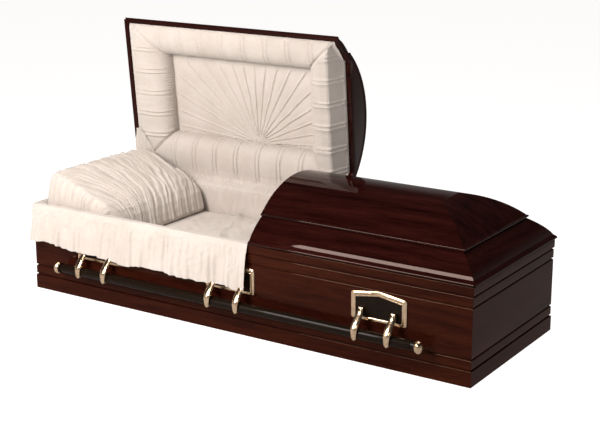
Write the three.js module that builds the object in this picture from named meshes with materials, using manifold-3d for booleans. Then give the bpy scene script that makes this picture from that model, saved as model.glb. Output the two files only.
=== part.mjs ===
// A half-couch funeral casket: hardwood body, two hinged lids, cloth lining and swing-bar handles.
// Millimetres. +X runs to the foot end, +Y to the hinge side, +Z up. The origin is on the floor,
// under the middle of the casket. The head lid stands open and the foot lid is closed.

import * as THREE from 'three';
import { mergeVertices } from 'three/addons/utils/BufferGeometryUtils.js';
import Module from 'manifold-3d';

const wasm = await Module();
wasm.setup();

// Body
const LENGTH = 2110;
const WIDTH = 724;
const WALL = 22;
const FLOOR = 18;
const BASE_HEIGHT = 62;
const BASE_THICKNESS = 30;
const LOWER_BAND_HEIGHT = 41;
const UPPER_BAND_HEIGHT = 42;
const RIM_BAND_HEIGHT = 39;
const RIM_HEIGHT = 381;
const GROOVE_HEIGHT = 6;
const GROOVE_DEPTH = 7;
const PANEL_SETBACK = 2;
const EDGE_ROUND = 4;
const GAP = 0.3;

// Lids
const SEAM = 5.5;
const SPLIT_X = 85;
const SPLIT_GAP = 4;
const LID_LIP = 9;
const LID_LIP_HEIGHT = 4.5;
const LID_COVE_RISE = 3;
const RAIL_FOOT = 14;
const RAIL_FOOT_HEIGHT = 11.5;
const RAIL_THICKNESS = 20;
const RAIL_SWEEP_FOOT = [8, 17.5];
const RAIL_SWEEP_BEND = [28.4, 50];
const RAIL_RISE = 89.5;
const RAIL_REACH = 89;
const RAIL_SEAT = 112;
const RAIL_SEAT_RISE = 3.5;
const RAIL_SEAT_THICKNESS = 12;
const CROWN_SETBACK = 81;
const CROWN_LIP_HEIGHT = 8.2;
const CROWN_RISE = 120;
const CROWN_THICKNESS = 18;
const HEADER_THICKNESS = 20;
const OPEN_ANGLE = 84.5;

// Hinges along the back seam
const HINGE_BARREL_RADIUS = 2.3;
const HINGE_LEAF_WIDTH = 18;
const HINGE_LEAF_THICKNESS = 1.2;
const HINGE_END_MARGIN = 60;

// Lining and bedding
const LINING_THICKNESS = 18;
const LINING_TOP_MARGIN = 2;
const MATTRESS_TOP = 260;
const CLOTH_CLEARANCE = 2;
const MATTRESS_EDGE = 18;
const ROLL_EDGE = 16;
const ROLL_EDGE_RISE = 4;
const FRONT_ROLL_WIDTH = 141;
const BACK_ROLL_WIDTH = 181;
const HEAD_ROLL_WIDTH = 179;
const SPLIT_ROLL_WIDTH = 147;
const ROLL_HANG = 69;
const ROLL_FULLEST_AT = 0.71;
const ROLL_FULLNESS = 14;
const SPLIT_DIP_AT = 0.22;
const SPLIT_DIP_RISE = 16;
const SUNBURST_RISE = 68.5;
const SUNBURST_THICKNESS = 15;
const FOOT_PANEL_RISE = 53.5;
const FOOT_PANEL_THICKNESS = 12;
const PILLOW_LENGTH = 400;
const PILLOW_BACK_RISE = 238;
const PILLOW_FRONT_RISE = 95;
const PILLOW_SLOPE = 1.3;
const PILLOW_SIDE_SHARE = 0.35;
const PILLOW_TAPER = 15;

// Throw over the front rim and round the head-end corner
const THROW_THICKNESS = 3;
const THROW_CLEARANCE = 0.9;
const THROW_BELOW_PIVOT = 19;
const THROW_FLARE = 34;
const THROW_CORNER_FLARE = 30;
const THROW_END_FLARE = 9;
const THROW_END_WRAP = 240;

// Handles
const HANDLE_CENTRE_X = -6;
const HANDLE_END_INSET = 377;
const PLATE_WIDTH = 237;
const PLATE_BOTTOM = 177;
const PLATE_SIDE_HEIGHT = 105;
const PLATE_PEAK = 16;
const PLATE_THICKNESS = 6;
const PLATE_CORNER = 6;
const PLATE_BORDER = 20;
const PLATE_RECESS = 3;
const ARM_SPACING = 138;
const PIVOT_HEIGHT = 222;
const PIVOT_OFFSET = 14;
const KNUCKLE_RADIUS = 5.5;
const KNUCKLE_WIDTH = 9;
const EAR_THICKNESS = 4;
const PIN_RADIUS = 2.4;
const BAR_RADIUS = 19.5;
const BAR_DROP = 89;
const BAR_REACH = 30;
const BAR_END_INSET = 194;
const BAR_NECK_RADIUS = 16.5;
const BAR_NECK_LENGTH = 12;
const BAR_COLLAR_LENGTH = 8;
const CAP_RADIUS = 27;
const CAP_LENGTH = 30;
const LEAF_HALF_WIDTH = 19;
const LEAF_HALF_THICKNESS = 3.2;
const LEAF_TAIL = 21;
const LEAF_BOW = [[0.02, 0], [0.22, 0.21], [0.8, 0.58], [1, 0.85]];
const EYE_WALL = 4.5;
const EYE_WIDTH = 14;

// Sizes that follow from the ones above
const HALF_LENGTH = LENGTH / 2;
const HALF_WIDTH = WIDTH / 2;
const LOWER_BAND_TOP = BASE_HEIGHT + LOWER_BAND_HEIGHT;
const UPPER_BAND_TOP = RIM_HEIGHT - RIM_BAND_HEIGHT;
const PANEL_TOP = UPPER_BAND_TOP - UPPER_BAND_HEIGHT;
const LID_BOTTOM = RIM_HEIGHT + SEAM;
const RAIL_TOP = LID_BOTTOM + RAIL_RISE;
const SEAT_TOP = RAIL_TOP + RAIL_SEAT_RISE;
const CROWN_BOTTOM = SEAT_TOP + GAP;
const CROWN_ARC_START = CROWN_SETBACK + 7;
const HINGE_Y = HALF_WIDTH;
const HINGE_Z = RIM_HEIGHT + SEAM / 2;
const LINING_FACE = WALL + GAP + LINING_THICKNESS;
const SUNBURST_DEPTH = LID_BOTTOM + SUNBURST_RISE;
const THROW_DROP = RIM_HEIGHT - PIVOT_HEIGHT + THROW_BELOW_PIVOT;
const HANDLE_PITCH = HALF_LENGTH - HANDLE_END_INSET;
const BAR_HALF_LENGTH = HALF_LENGTH - BAR_END_INSET;

const wood = new THREE.MeshStandardMaterial({ color: 0x4a1a12, roughness: 0.16, metalness: 0 });
const cloth = new THREE.MeshStandardMaterial({ color: 0xefe3d6, roughness: 0.85, metalness: 0 });
const brass = new THREE.MeshStandardMaterial({ color: 0xd9a94e, roughness: 0.2, metalness: 1 });
const blackBar = new THREE.MeshStandardMaterial({ color: 0x17130f, roughness: 0.18, metalness: 0 });

const casket = new THREE.Group();

function addMesh(parent, name, geometry, material) {
  const mesh = new THREE.Mesh(geometry, material);
  mesh.name = name;
  parent.add(mesh);
  return mesh;
}

// Solids that are cut or joined

function toSolid(geometry) {
  const plain = geometry.clone();
  plain.deleteAttribute('normal');
  plain.deleteAttribute('uv');
  const merged = mergeVertices(plain, 1e-4);
  return new wasm.Manifold(new wasm.Mesh({
    numProp: 3,
    vertProperties: Float32Array.from(merged.attributes.position.array),
    triVerts: Uint32Array.from(merged.index.array),
  }));
}

function toGeometry(solid) {
  const mesh = solid.getMesh();
  const geometry = new THREE.BufferGeometry();
  geometry.setAttribute('position', new THREE.BufferAttribute(mesh.vertProperties, 3));
  geometry.setIndex(new THREE.BufferAttribute(mesh.triVerts, 1));
  geometry.computeVertexNormals();
  return geometry;
}

function joined(...geometries) {
  return geometries.map(toSolid).reduce((all, next) => all.add(next));
}

// Outlines

function shapeFrom(points) {
  return new THREE.Shape(points.map(([x, y]) => new THREE.Vector2(x, y)));
}

function roundedPolygon(points, radius) {
  const shape = new THREE.Shape();
  points.forEach(([x, y], i) => {
    const corner = new THREE.Vector2(x, y);
    const before = new THREE.Vector2(...points[(i + points.length - 1) % points.length]);
    const after = new THREE.Vector2(...points[(i + 1) % points.length]);
    const enter = corner.clone().add(before.sub(corner).setLength(radius));
    const leave = corner.clone().add(after.sub(corner).setLength(radius));
    if (i === 0) shape.moveTo(enter.x, enter.y);
    else shape.lineTo(enter.x, enter.y);
    shape.quadraticCurveTo(x, y, leave.x, leave.y);
  });
  return shape;
}

// An outline drawn in two of the axes, pushed along the third.
function prismAlongX(shape, x0, x1, curveSegments = 3) {
  const geometry = new THREE.ExtrudeGeometry(shape, { depth: x1 - x0, bevelEnabled: false, curveSegments });
  geometry.applyMatrix4(new THREE.Matrix4().set(0, 0, 1, x0, 1, 0, 0, 0, 0, 1, 0, 0, 0, 0, 0, 1));
  return geometry;
}

function prismAlongY(shape, y0, y1, curveSegments = 3) {
  const geometry = new THREE.ExtrudeGeometry(shape, { depth: y1 - y0, bevelEnabled: false, curveSegments });
  geometry.applyMatrix4(new THREE.Matrix4().set(1, 0, 0, 0, 0, 0, -1, y1, 0, 1, 0, 0, 0, 0, 0, 1));
  return geometry;
}

// A board whose outline is drawn as depth from the outer face and height. It runs along its own X,
// from x0 to x1, and each end is cut back by a length that depends on the depth, as a mitre is.
function board(shape, x0, x1, cutStart, cutEnd) {
  const geometry = prismAlongX(shape, 0, 1);
  const position = geometry.attributes.position;
  for (let i = 0; i < position.count; i++) {
    const depth = position.getY(i);
    const start = x0 + cutStart(depth);
    const end = x1 - cutEnd(depth);
    position.setX(i, THREE.MathUtils.lerp(start, end, position.getX(i)));
  }
  geometry.computeVertexNormals();
  return geometry;
}

const mitre = (depth) => depth + GAP * 0.75;
const square = () => 0;

// The four sides of the body or of a lid: where each outer face is and which way its board runs.
const SIDES = {
  front: { position: [0, -HALF_WIDTH], turn: 0, half: HALF_LENGTH },
  back: { position: [0, HALF_WIDTH], turn: Math.PI, half: HALF_LENGTH },
  foot: { position: [HALF_LENGTH, 0], turn: Math.PI / 2, half: HALF_WIDTH },
  head: { position: [-HALF_LENGTH, 0], turn: -Math.PI / 2, half: HALF_WIDTH },
};

function placeOnSide(object, side) {
  object.position.set(...SIDES[side].position, 0);
  object.rotation.z = SIDES[side].turn;
}

function addFourBoards(parent, nameFor, shape, material) {
  for (const side of Object.keys(SIDES)) {
    const { half } = SIDES[side];
    placeOnSide(addMesh(parent, nameFor(side), board(shape, -half, half, mitre, mitre), material), side);
  }
}

// Body

function baseShape() {
  const shape = new THREE.Shape();
  shape.moveTo(0, 0);
  shape.lineTo(BASE_THICKNESS, 0);
  shape.lineTo(BASE_THICKNESS, BASE_HEIGHT);
  shape.lineTo(EDGE_ROUND, BASE_HEIGHT);
  shape.quadraticCurveTo(0, BASE_HEIGHT, 0, BASE_HEIGHT - EDGE_ROUND);
  return shape;
}

// Drawn up the outer face: each band starts above a groove and ends in a rounded edge.
function sideBoardShape() {
  const shape = new THREE.Shape();
  const bottom = BASE_HEIGHT + GAP;
  const bands = [
    { face: PANEL_SETBACK, top: LOWER_BAND_TOP },
    { face: PANEL_SETBACK, top: PANEL_TOP },
    { face: PANEL_SETBACK, top: UPPER_BAND_TOP },
    { face: 0, top: RIM_HEIGHT },
  ];
  shape.moveTo(WALL, bottom);
  shape.lineTo(WALL, RIM_HEIGHT);
  for (let i = bands.length - 1; i >= 0; i--) {
    const { face, top } = bands[i];
    const start = (i > 0 ? bands[i - 1].top : BASE_HEIGHT) + GROOVE_HEIGHT;
    if (i < bands.length - 1) shape.lineTo(GROOVE_DEPTH, top);
    shape.lineTo(face + EDGE_ROUND, top);
    shape.quadraticCurveTo(face, top, face, top - EDGE_ROUND);
    shape.lineTo(face, start);
    shape.lineTo(GROOVE_DEPTH, start);
  }
  shape.lineTo(GROOVE_DEPTH, bottom);
  return shape;
}

function liningShape() {
  const shape = new THREE.Shape();
  const top = RIM_HEIGHT - LINING_TOP_MARGIN;
  const inner = LINING_FACE;
  shape.moveTo(WALL + GAP, FLOOR + GAP);
  shape.lineTo(inner, FLOOR + GAP);
  shape.lineTo(inner, top - LINING_THICKNESS);
  shape.quadraticCurveTo(inner, top, inner - LINING_THICKNESS / 2, top);
  shape.lineTo(WALL + GAP, top);
  return shape;
}

// The lining starts above the base boards' inner edge, so it is cut to stand clear of them.
function liningBoardShape() {
  const shape = liningShape();
  const points = shape.getPoints(3).map((point) => {
    const onBase = point.y < BASE_HEIGHT && point.x < BASE_THICKNESS + GAP;
    return [onBase ? BASE_THICKNESS + GAP : point.x, point.y];
  });
  return shapeFrom([...points, [WALL + GAP, BASE_HEIGHT + GAP], [BASE_THICKNESS + GAP, BASE_HEIGHT + GAP]]);
}

function addBody() {
  const inside = BASE_THICKNESS + GAP;
  const floorBoard = new THREE.BoxGeometry(LENGTH - 2 * inside, WIDTH - 2 * inside, FLOOR);
  addMesh(casket, 'bottom_board', floorBoard, wood).position.z = FLOOR / 2;
  addFourBoards(casket, (side) => `base_board_${side}`, baseShape(), wood);
  addFourBoards(casket, (side) => `side_board_${side}`, sideBoardShape(), wood);
  addFourBoards(casket, (side) => `lining_${side}`, liningBoardShape(), cloth);
}

// Bedding

function addMattress() {
  const inset = LINING_FACE + CLOTH_CLEARANCE;
  const bottom = FLOOR + GAP;
  const half = HALF_WIDTH - inset;
  const corners = [[-half, bottom], [half, bottom], [half, MATTRESS_TOP], [-half, MATTRESS_TOP]];
  const outline = roundedPolygon(corners, MATTRESS_EDGE);
  const reach = HALF_LENGTH - inset;
  addMesh(casket, 'mattress', prismAlongX(outline, -reach, reach), cloth);
}

// The pillow leans on the head-end lining: high at the back, low in front, rounded at its edges.
function addPillow() {
  const columns = 8;
  const rows = 8;
  const bottom = MATTRESS_TOP + GAP;
  const x0 = -HALF_LENGTH + LINING_FACE + CLOTH_CLEARANCE;
  const halfWidth = HALF_WIDTH - LINING_FACE - CLOTH_CLEARANCE;
  const positions = [];
  const indices = [];
  const edgeRise = (u) => Math.sqrt(1 - Math.abs(2 * u - 1) ** 4);
  for (const isTop of [false, true]) {
    for (let j = 0; j <= rows; j++) {
      for (let i = 0; i <= columns; i++) {
        const u = i / columns;
        const v = j / rows;
        const slope = THREE.MathUtils.lerp(PILLOW_BACK_RISE, PILLOW_FRONT_RISE, u ** PILLOW_SLOPE);
        const crown = THREE.MathUtils.lerp(PILLOW_SIDE_SHARE, 1, edgeRise(v));
        const lift = isTop ? slope * crown : 0;
        const side = (2 * v - 1) * (halfWidth - PILLOW_TAPER * u);
        positions.push(x0 + PILLOW_LENGTH * u, side, bottom + lift);
      }
    }
  }
  const layer = (columns + 1) * (rows + 1);
  const at = (level, i, j) => level * layer + j * (columns + 1) + i;
  const quad = (a, b, c, d) => indices.push(a, b, c, a, c, d);
  for (let j = 0; j < rows; j++) {
    for (let i = 0; i < columns; i++) {
      quad(at(1, i, j), at(1, i + 1, j), at(1, i + 1, j + 1), at(1, i, j + 1));
      quad(at(0, i, j), at(0, i, j + 1), at(0, i + 1, j + 1), at(0, i + 1, j));
    }
  }
  for (let i = 0; i < columns; i++) {
    quad(at(0, i, 0), at(0, i + 1, 0), at(1, i + 1, 0), at(1, i, 0));
    quad(at(0, i + 1, rows), at(0, i, rows), at(1, i, rows), at(1, i + 1, rows));
  }
  for (let j = 0; j < rows; j++) {
    quad(at(0, 0, j + 1), at(0, 0, j), at(1, 0, j), at(1, 0, j + 1));
    quad(at(0, columns, j), at(0, columns, j + 1), at(1, columns, j + 1), at(1, columns, j));
  }
  const geometry = new THREE.BufferGeometry();
  geometry.setAttribute('position', new THREE.Float32BufferAttribute(positions, 3));
  geometry.setIndex(indices);
  geometry.computeVertexNormals();
  addMesh(casket, 'pillow', geometry, cloth);
}

// The throw lies over the rim and hangs outside it, flaring towards its hem. It is swept along the
// front from the lid split to the head-end corner, and a short way along the head end.
function addThrow() {
  const steps = 4;
  const innerEdge = WALL - 0.5;
  const rimLift = RIM_HEIGHT + GAP;
  const cornerX = -HALF_LENGTH + innerEdge;
  const cornerY = -HALF_WIDTH + innerEdge;
  const stations = [];
  for (const t of [0, 0.2, 0.4, 0.6, 0.8, 1]) {
    const x = THREE.MathUtils.lerp(SPLIT_X - SPLIT_GAP, cornerX, t);
    const flare = THREE.MathUtils.lerp(THROW_FLARE, THROW_CORNER_FLARE, t);
    stations.push({ x, y: cornerY, angle: 0, flare });
  }
  for (const t of [0.25, 0.5, 0.75]) {
    const flare = THREE.MathUtils.lerp(THROW_CORNER_FLARE, THROW_END_FLARE, t);
    stations.push({ x: cornerX, y: cornerY, angle: t * Math.PI / 2, flare });
  }
  for (const t of [0, 0.5, 1]) {
    const y = cornerY + t * (THROW_END_WRAP - innerEdge);
    stations.push({ x: cornerX, y, angle: Math.PI / 2, flare: THROW_END_FLARE });
  }
  // The cloth's middle line: across the rim, over its edge, and down to the hem.
  const line = [[0, rimLift + THROW_THICKNESS / 2], [innerEdge - 3, rimLift + THROW_THICKNESS / 2]];
  for (let k = 0; k <= steps; k++) {
    line.push([null, RIM_HEIGHT - 2 - (THROW_DROP - 2) * k / steps, k / steps]);
  }
  const ring = ({ x, y, angle, flare }) => {
    const cosine = Math.cos(angle);
    const sine = Math.sin(angle);
    const cornerReach = innerEdge / Math.max(cosine, sine);
    const toPoint = ([reach, z], thickness) => {
      const straight = reach * cornerReach / innerEdge + thickness;
      return [x - straight * sine, y - straight * cosine, z];
    };
    const outer = [];
    const inner = [];
    const half = THROW_THICKNESS / 2;
    for (const [reach, z, t] of line) {
      if (t === undefined) {
        outer.push(toPoint([reach, z + half], 0));
        inner.push(toPoint([reach, z - half], 0));
      } else {
        const off = THROW_CLEARANCE + flare * t;
        outer.push(toPoint([innerEdge, t === 0 ? z + 3 : z], off + THROW_THICKNESS));
        inner.push(toPoint([innerEdge, t === 0 ? rimLift : z], off));
      }
    }
    return [...outer, ...inner.reverse()];
  };
  const rings = stations.map(ring);
  addMesh(casket, 'throw', loft(rings), cloth);
}

// A closed body through rings of points that all have the same number of points.
function loft(rings) {
  const count = rings[0].length;
  const positions = rings.flat(2);
  const indices = [];
  for (let k = 0; k + 1 < rings.length; k++) {
    for (let i = 0; i < count; i++) {
      const a = k * count + i;
      const b = k * count + (i + 1) % count;
      indices.push(a, b, b + count, a, b + count, a + count);
    }
  }
  const last = (rings.length - 1) * count;
  for (let i = 0; i < count / 2 - 1; i++) {
    const j = count - 1 - i;
    indices.push(i, j, j - 1, i, j - 1, i + 1);
    indices.push(last + i, last + j - 1, last + j, last + i, last + i + 1, last + j - 1);
  }
  const geometry = new THREE.BufferGeometry();
  geometry.setAttribute('position', new THREE.Float32BufferAttribute(positions, 3));
  geometry.setIndex(indices);
  const volume = toSolid(geometry).volume();
  if (volume < 0) {
    for (let i = 0; i < indices.length; i += 3) {
      [indices[i + 1], indices[i + 2]] = [indices[i + 2], indices[i + 1]];
    }
    geometry.setIndex(indices);
  }
  geometry.computeVertexNormals();
  return geometry;
}

// Lids

// The curved lower tier: a small lip, then a convex sweep up to the seat of the crown.
function lidRailShape() {
  const shape = new THREE.Shape();
  shape.moveTo(-LID_LIP, LID_BOTTOM);
  shape.lineTo(RAIL_FOOT, LID_BOTTOM);
  for (const [depth, height] of railInnerPoints(0)) shape.lineTo(depth, height);
  shape.lineTo(RAIL_SEAT, SEAT_TOP);
  shape.lineTo(RAIL_REACH + LID_COVE_RISE, SEAT_TOP);
  shape.lineTo(RAIL_REACH, RAIL_TOP);
  const sweep = railSweep();
  shape.quadraticCurveTo(sweep.v1.x, sweep.v1.y, sweep.v0.x, sweep.v0.y);
  shape.lineTo(LID_COVE_RISE - LID_LIP, LID_BOTTOM + LID_LIP_HEIGHT + LID_COVE_RISE);
  shape.lineTo(-LID_LIP, LID_BOTTOM + LID_LIP_HEIGHT);
  return shape;
}

// The outer sweep of the lower tier, as depth and height, from its foot to its top.
function railSweep() {
  const foot = new THREE.Vector2(RAIL_SWEEP_FOOT[0], LID_BOTTOM + RAIL_SWEEP_FOOT[1]);
  const bend = new THREE.Vector2(RAIL_SWEEP_BEND[0], LID_BOTTOM + RAIL_SWEEP_BEND[1]);
  return new THREE.QuadraticBezierCurve(foot, bend, new THREE.Vector2(RAIL_REACH, RAIL_TOP));
}

// The inner face of the lower tier, from its foot up to the seat, moved inward by a clearance.
function railInnerPoints(clearance) {
  const sweep = railSweep();
  const inner = [0.2, 0.6, 1].map((t) => {
    const along = sweep.getTangent(t);
    const point = sweep.getPoint(t);
    return [point.x + along.y * RAIL_THICKNESS, point.y - along.x * RAIL_THICKNESS];
  });
  return [
    [RAIL_FOOT + 2, LID_BOTTOM + RAIL_FOOT_HEIGHT],
    ...inner,
    [RAIL_SEAT, RAIL_TOP - RAIL_SEAT_THICKNESS],
  ].map(([depth, height]) => [depth + clearance, height - clearance]);
}

// The crown's arc, as depth from the body's face and height, from its edge up to the ridge.
function crownArc(offset, lowest) {
  const steps = 14;
  const top = CROWN_BOTTOM + CROWN_RISE;
  const edge = CROWN_BOTTOM + CROWN_LIP_HEIGHT;
  const span = HALF_WIDTH - CROWN_ARC_START;
  const sag = top - edge;
  const radius = (span * span + sag * sag) / (2 * sag);
  const centre = top - radius;
  const arc = radius - offset;
  const startAngle = Math.asin((lowest - centre) / arc);
  const points = [];
  for (let i = 0; i <= steps; i++) {
    const angle = THREE.MathUtils.lerp(startAngle, Math.PI / 2, i / steps);
    points.push([HALF_WIDTH - arc * Math.cos(angle), centre + arc * Math.sin(angle)]);
  }
  return points;
}

function crownOuterProfile() {
  const edge = CROWN_BOTTOM + CROWN_LIP_HEIGHT;
  return [
    [CROWN_SETBACK, CROWN_BOTTOM],
    [CROWN_SETBACK, edge - 3],
    [CROWN_SETBACK + 1.5, edge - 0.8],
    ...crownArc(0, edge),
  ];
}

function crownInnerProfile(clearance) {
  const arc = crownArc(CROWN_THICKNESS + clearance, CROWN_BOTTOM);
  return [[arc[0][0], CROWN_BOTTOM - 2], ...arc];
}

// The space inside the lower tier, under the crown, where the lid's lining sits.
function liningSpaceProfile() {
  const clearance = GAP * 1.5;
  return [
    [RAIL_FOOT + clearance, LID_BOTTOM - 2],
    ...railInnerPoints(clearance),
    [RAIL_SEAT + clearance, SEAT_TOP - 1],
    [HALF_WIDTH, SEAT_TOP - 1],
  ];
}

// A half profile swept along the casket and across its end, which meet in mitred hips.
// The end with the hip is at endX, and the other end is cut square at cutX.
function hippedSolid(profile, endX, cutX) {
  const above = CROWN_BOTTOM + CROWN_RISE + 40;
  const across = [
    ...profile.map(([depth, height]) => [depth - HALF_WIDTH, height]),
    ...profile.slice(0, -1).reverse().map(([depth, height]) => [HALF_WIDTH - depth, height]),
  ];
  const sign = Math.sign(endX);
  const along = [
    ...profile.map(([depth, height]) => [endX - sign * depth, height]),
    [endX - sign * HALF_WIDTH, above],
    [cutX, above],
    [cutX, profile[0][1]],
  ];
  const low = Math.min(endX, cutX);
  const high = Math.max(endX, cutX);
  const crossways = toSolid(prismAlongX(shapeFrom(across), low, high));
  const lengthways = toSolid(prismAlongY(shapeFrom(along), -HALF_WIDTH, HALF_WIDTH));
  return crossways.intersect(lengthways);
}

function crownGeometry(endX, cutX) {
  const beyond = cutX - Math.sign(endX) * 5;
  const hollow = hippedSolid(crownInnerProfile(0), endX, beyond);
  return toGeometry(hippedSolid(crownOuterProfile(), endX, cutX).subtract(hollow));
}

// The board that closes the crown's open end at the split.
function headerGeometry(x0, x1) {
  const arc = crownInnerProfile(GAP).slice(1);
  const shoulder = RAIL_SEAT + GAP;
  const half = [[shoulder, SEAT_TOP - 4.5], [shoulder, CROWN_BOTTOM + GAP], ...arc.slice(1)];
  const outline = [
    ...half.map(([depth, height]) => [depth - HALF_WIDTH, height]),
    ...half.slice(0, -1).reverse().map(([depth, height]) => [HALF_WIDTH - depth, height]),
  ];
  return prismAlongX(shapeFrom(outline), x0, x1);
}

function addLidRails(lid, prefix, endSide, cutX) {
  const shape = lidRailShape();
  const toFoot = endSide === 'foot';
  const front = toFoot
    ? board(shape, cutX, HALF_LENGTH, square, mitre)
    : board(shape, -HALF_LENGTH, cutX, mitre, square);
  const back = toFoot
    ? board(shape, -HALF_LENGTH, -cutX, mitre, square)
    : board(shape, -cutX, HALF_LENGTH, square, mitre);
  placeOnSide(addMesh(lid, `${prefix}_rail_front`, front, wood), 'front');
  placeOnSide(addMesh(lid, `${prefix}_rail_back`, back, wood), 'back');
  const end = board(shape, -HALF_WIDTH, HALF_WIDTH, mitre, mitre);
  placeOnSide(addMesh(lid, `${prefix}_rail_end`, end, wood), endSide);
}

// One puffed roll of the lid's lining. It hangs lowest near its middle and turns up to the panel.
function rollGeometry(width, length, startCut, endCut, space, side) {
  const shape = new THREE.Shape();
  shape.moveTo(ROLL_EDGE, SEAT_TOP);
  shape.lineTo(ROLL_EDGE, LID_BOTTOM + ROLL_EDGE_RISE);
  const hang = SUNBURST_DEPTH - ROLL_HANG - ROLL_FULLNESS;
  shape.quadraticCurveTo(ROLL_EDGE + width * ROLL_FULLEST_AT, hang, ROLL_EDGE + width, SUNBURST_DEPTH);
  shape.lineTo(ROLL_EDGE + width, SEAT_TOP);
  const roll = new THREE.Mesh(board(shape, length[0], length[1], startCut, endCut));
  placeOnSide(roll, side);
  roll.updateMatrix();
  roll.geometry.applyMatrix4(roll.matrix);
  return toGeometry(toSolid(roll.geometry).intersect(space));
}

function addHeadLidLining(lid, headerFace) {
  const space = hippedSolid(liningSpaceProfile(), -HALF_LENGTH, headerFace);
  const splitEdge = headerFace - 1;
  // How far a roll's end is cut back where it meets a roll of another width.
  const cornerCut = (ownWidth, otherWidth) => (depth) =>
    ROLL_EDGE + (depth - ROLL_EDGE) * otherWidth / ownWidth + GAP;
  const splitCut = (width) => (depth) => (depth - ROLL_EDGE) * SPLIT_ROLL_WIDTH / width + GAP;
  const frontRoll = rollGeometry(FRONT_ROLL_WIDTH, [-HALF_LENGTH, splitEdge],
    cornerCut(FRONT_ROLL_WIDTH, HEAD_ROLL_WIDTH), splitCut(FRONT_ROLL_WIDTH), space, 'front');
  const backRoll = rollGeometry(BACK_ROLL_WIDTH, [-splitEdge, HALF_LENGTH],
    splitCut(BACK_ROLL_WIDTH), cornerCut(BACK_ROLL_WIDTH, HEAD_ROLL_WIDTH), space, 'back');
  const headRoll = rollGeometry(HEAD_ROLL_WIDTH, [-HALF_WIDTH, HALF_WIDTH],
    cornerCut(HEAD_ROLL_WIDTH, BACK_ROLL_WIDTH), cornerCut(HEAD_ROLL_WIDTH, FRONT_ROLL_WIDTH), space, 'head');
  addMesh(lid, 'head_lid_roll_front', frontRoll, cloth);
  addMesh(lid, 'head_lid_roll_back', backRoll, cloth);
  addMesh(lid, 'head_lid_roll_head', headRoll, cloth);
  addMesh(lid, 'head_lid_roll_split', splitRollGeometry(splitEdge, space), cloth);
  const x0 = -HALF_LENGTH + ROLL_EDGE + HEAD_ROLL_WIDTH + GAP;
  const x1 = splitEdge - SPLIT_ROLL_WIDTH - GAP;
  const y0 = -HALF_WIDTH + ROLL_EDGE + FRONT_ROLL_WIDTH + GAP;
  const y1 = HALF_WIDTH - ROLL_EDGE - BACK_ROLL_WIDTH - GAP;
  const panel = new THREE.BoxGeometry(x1 - x0, y1 - y0, SUNBURST_THICKNESS);
  const sunburst = addMesh(lid, 'head_lid_sunburst_panel', panel, cloth);
  sunburst.position.set((x0 + x1) / 2, (y0 + y1) / 2, SUNBURST_DEPTH + SUNBURST_THICKNESS / 2 + 1);
}

// The roll beside the header starts high against it, dips, and turns up to the panel like the others.
function splitRollGeometry(splitEdge, space) {
  const shape = new THREE.Shape();
  const dip = splitEdge - SPLIT_ROLL_WIDTH * SPLIT_DIP_AT;
  const hang = SUNBURST_DEPTH - ROLL_HANG;
  shape.moveTo(splitEdge, SEAT_TOP);
  shape.lineTo(splitEdge - SPLIT_ROLL_WIDTH, SEAT_TOP);
  shape.lineTo(splitEdge - SPLIT_ROLL_WIDTH, SUNBURST_DEPTH);
  shape.quadraticCurveTo(splitEdge - SPLIT_ROLL_WIDTH * 0.75, hang, dip, hang + SPLIT_DIP_RISE);
  shape.lineTo(splitEdge, SUNBURST_DEPTH + 5);
  const cutAt = (x, width) => ROLL_EDGE + (splitEdge - x) * width / SPLIT_ROLL_WIDTH + GAP;
  const geometry = prismAlongY(shape, 0, 1);
  const position = geometry.attributes.position;
  for (let i = 0; i < position.count; i++) {
    const x = position.getX(i);
    const start = -HALF_WIDTH + cutAt(x, FRONT_ROLL_WIDTH);
    const end = HALF_WIDTH - cutAt(x, BACK_ROLL_WIDTH);
    position.setY(i, THREE.MathUtils.lerp(start, end, position.getY(i)));
  }
  return toGeometry(toSolid(geometry).intersect(space));
}

function footLidLiningGeometry(headerFace) {
  const space = hippedSolid(liningSpaceProfile(), HALF_LENGTH, headerFace);
  const slab = new THREE.BoxGeometry(LENGTH, WIDTH, FOOT_PANEL_THICKNESS);
  slab.translate(headerFace + HALF_LENGTH, 0, LID_BOTTOM + FOOT_PANEL_RISE + FOOT_PANEL_THICKNESS / 2);
  return toGeometry(toSolid(slab).intersect(space));
}

function addLids() {
  const turn = new THREE.Group();
  turn.position.set(0, HINGE_Y, HINGE_Z);
  turn.rotation.x = -THREE.MathUtils.degToRad(OPEN_ANGLE);
  const headLid = new THREE.Group();
  headLid.position.set(0, -HINGE_Y, -HINGE_Z);
  turn.add(headLid);
  casket.add(turn);
  const headCut = SPLIT_X - SPLIT_GAP / 2;
  addLidRails(headLid, 'head_lid', 'head', headCut);
  addMesh(headLid, 'head_lid_crown', crownGeometry(-HALF_LENGTH, headCut), wood);
  addMesh(headLid, 'head_lid_header', headerGeometry(headCut - HEADER_THICKNESS, headCut), wood);
  addHeadLidLining(headLid, headCut - HEADER_THICKNESS - GAP);

  const footLid = new THREE.Group();
  casket.add(footLid);
  const footCut = SPLIT_X + SPLIT_GAP / 2;
  addLidRails(footLid, 'foot_lid', 'foot', footCut);
  addMesh(footLid, 'foot_lid_crown', crownGeometry(HALF_LENGTH, footCut), wood);
  addMesh(footLid, 'foot_lid_header', headerGeometry(footCut, footCut + HEADER_THICKNESS), wood);
  const lining = footLidLiningGeometry(footCut + HEADER_THICKNESS + GAP);
  addMesh(footLid, 'foot_lid_lining', lining, cloth);
}

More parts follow.
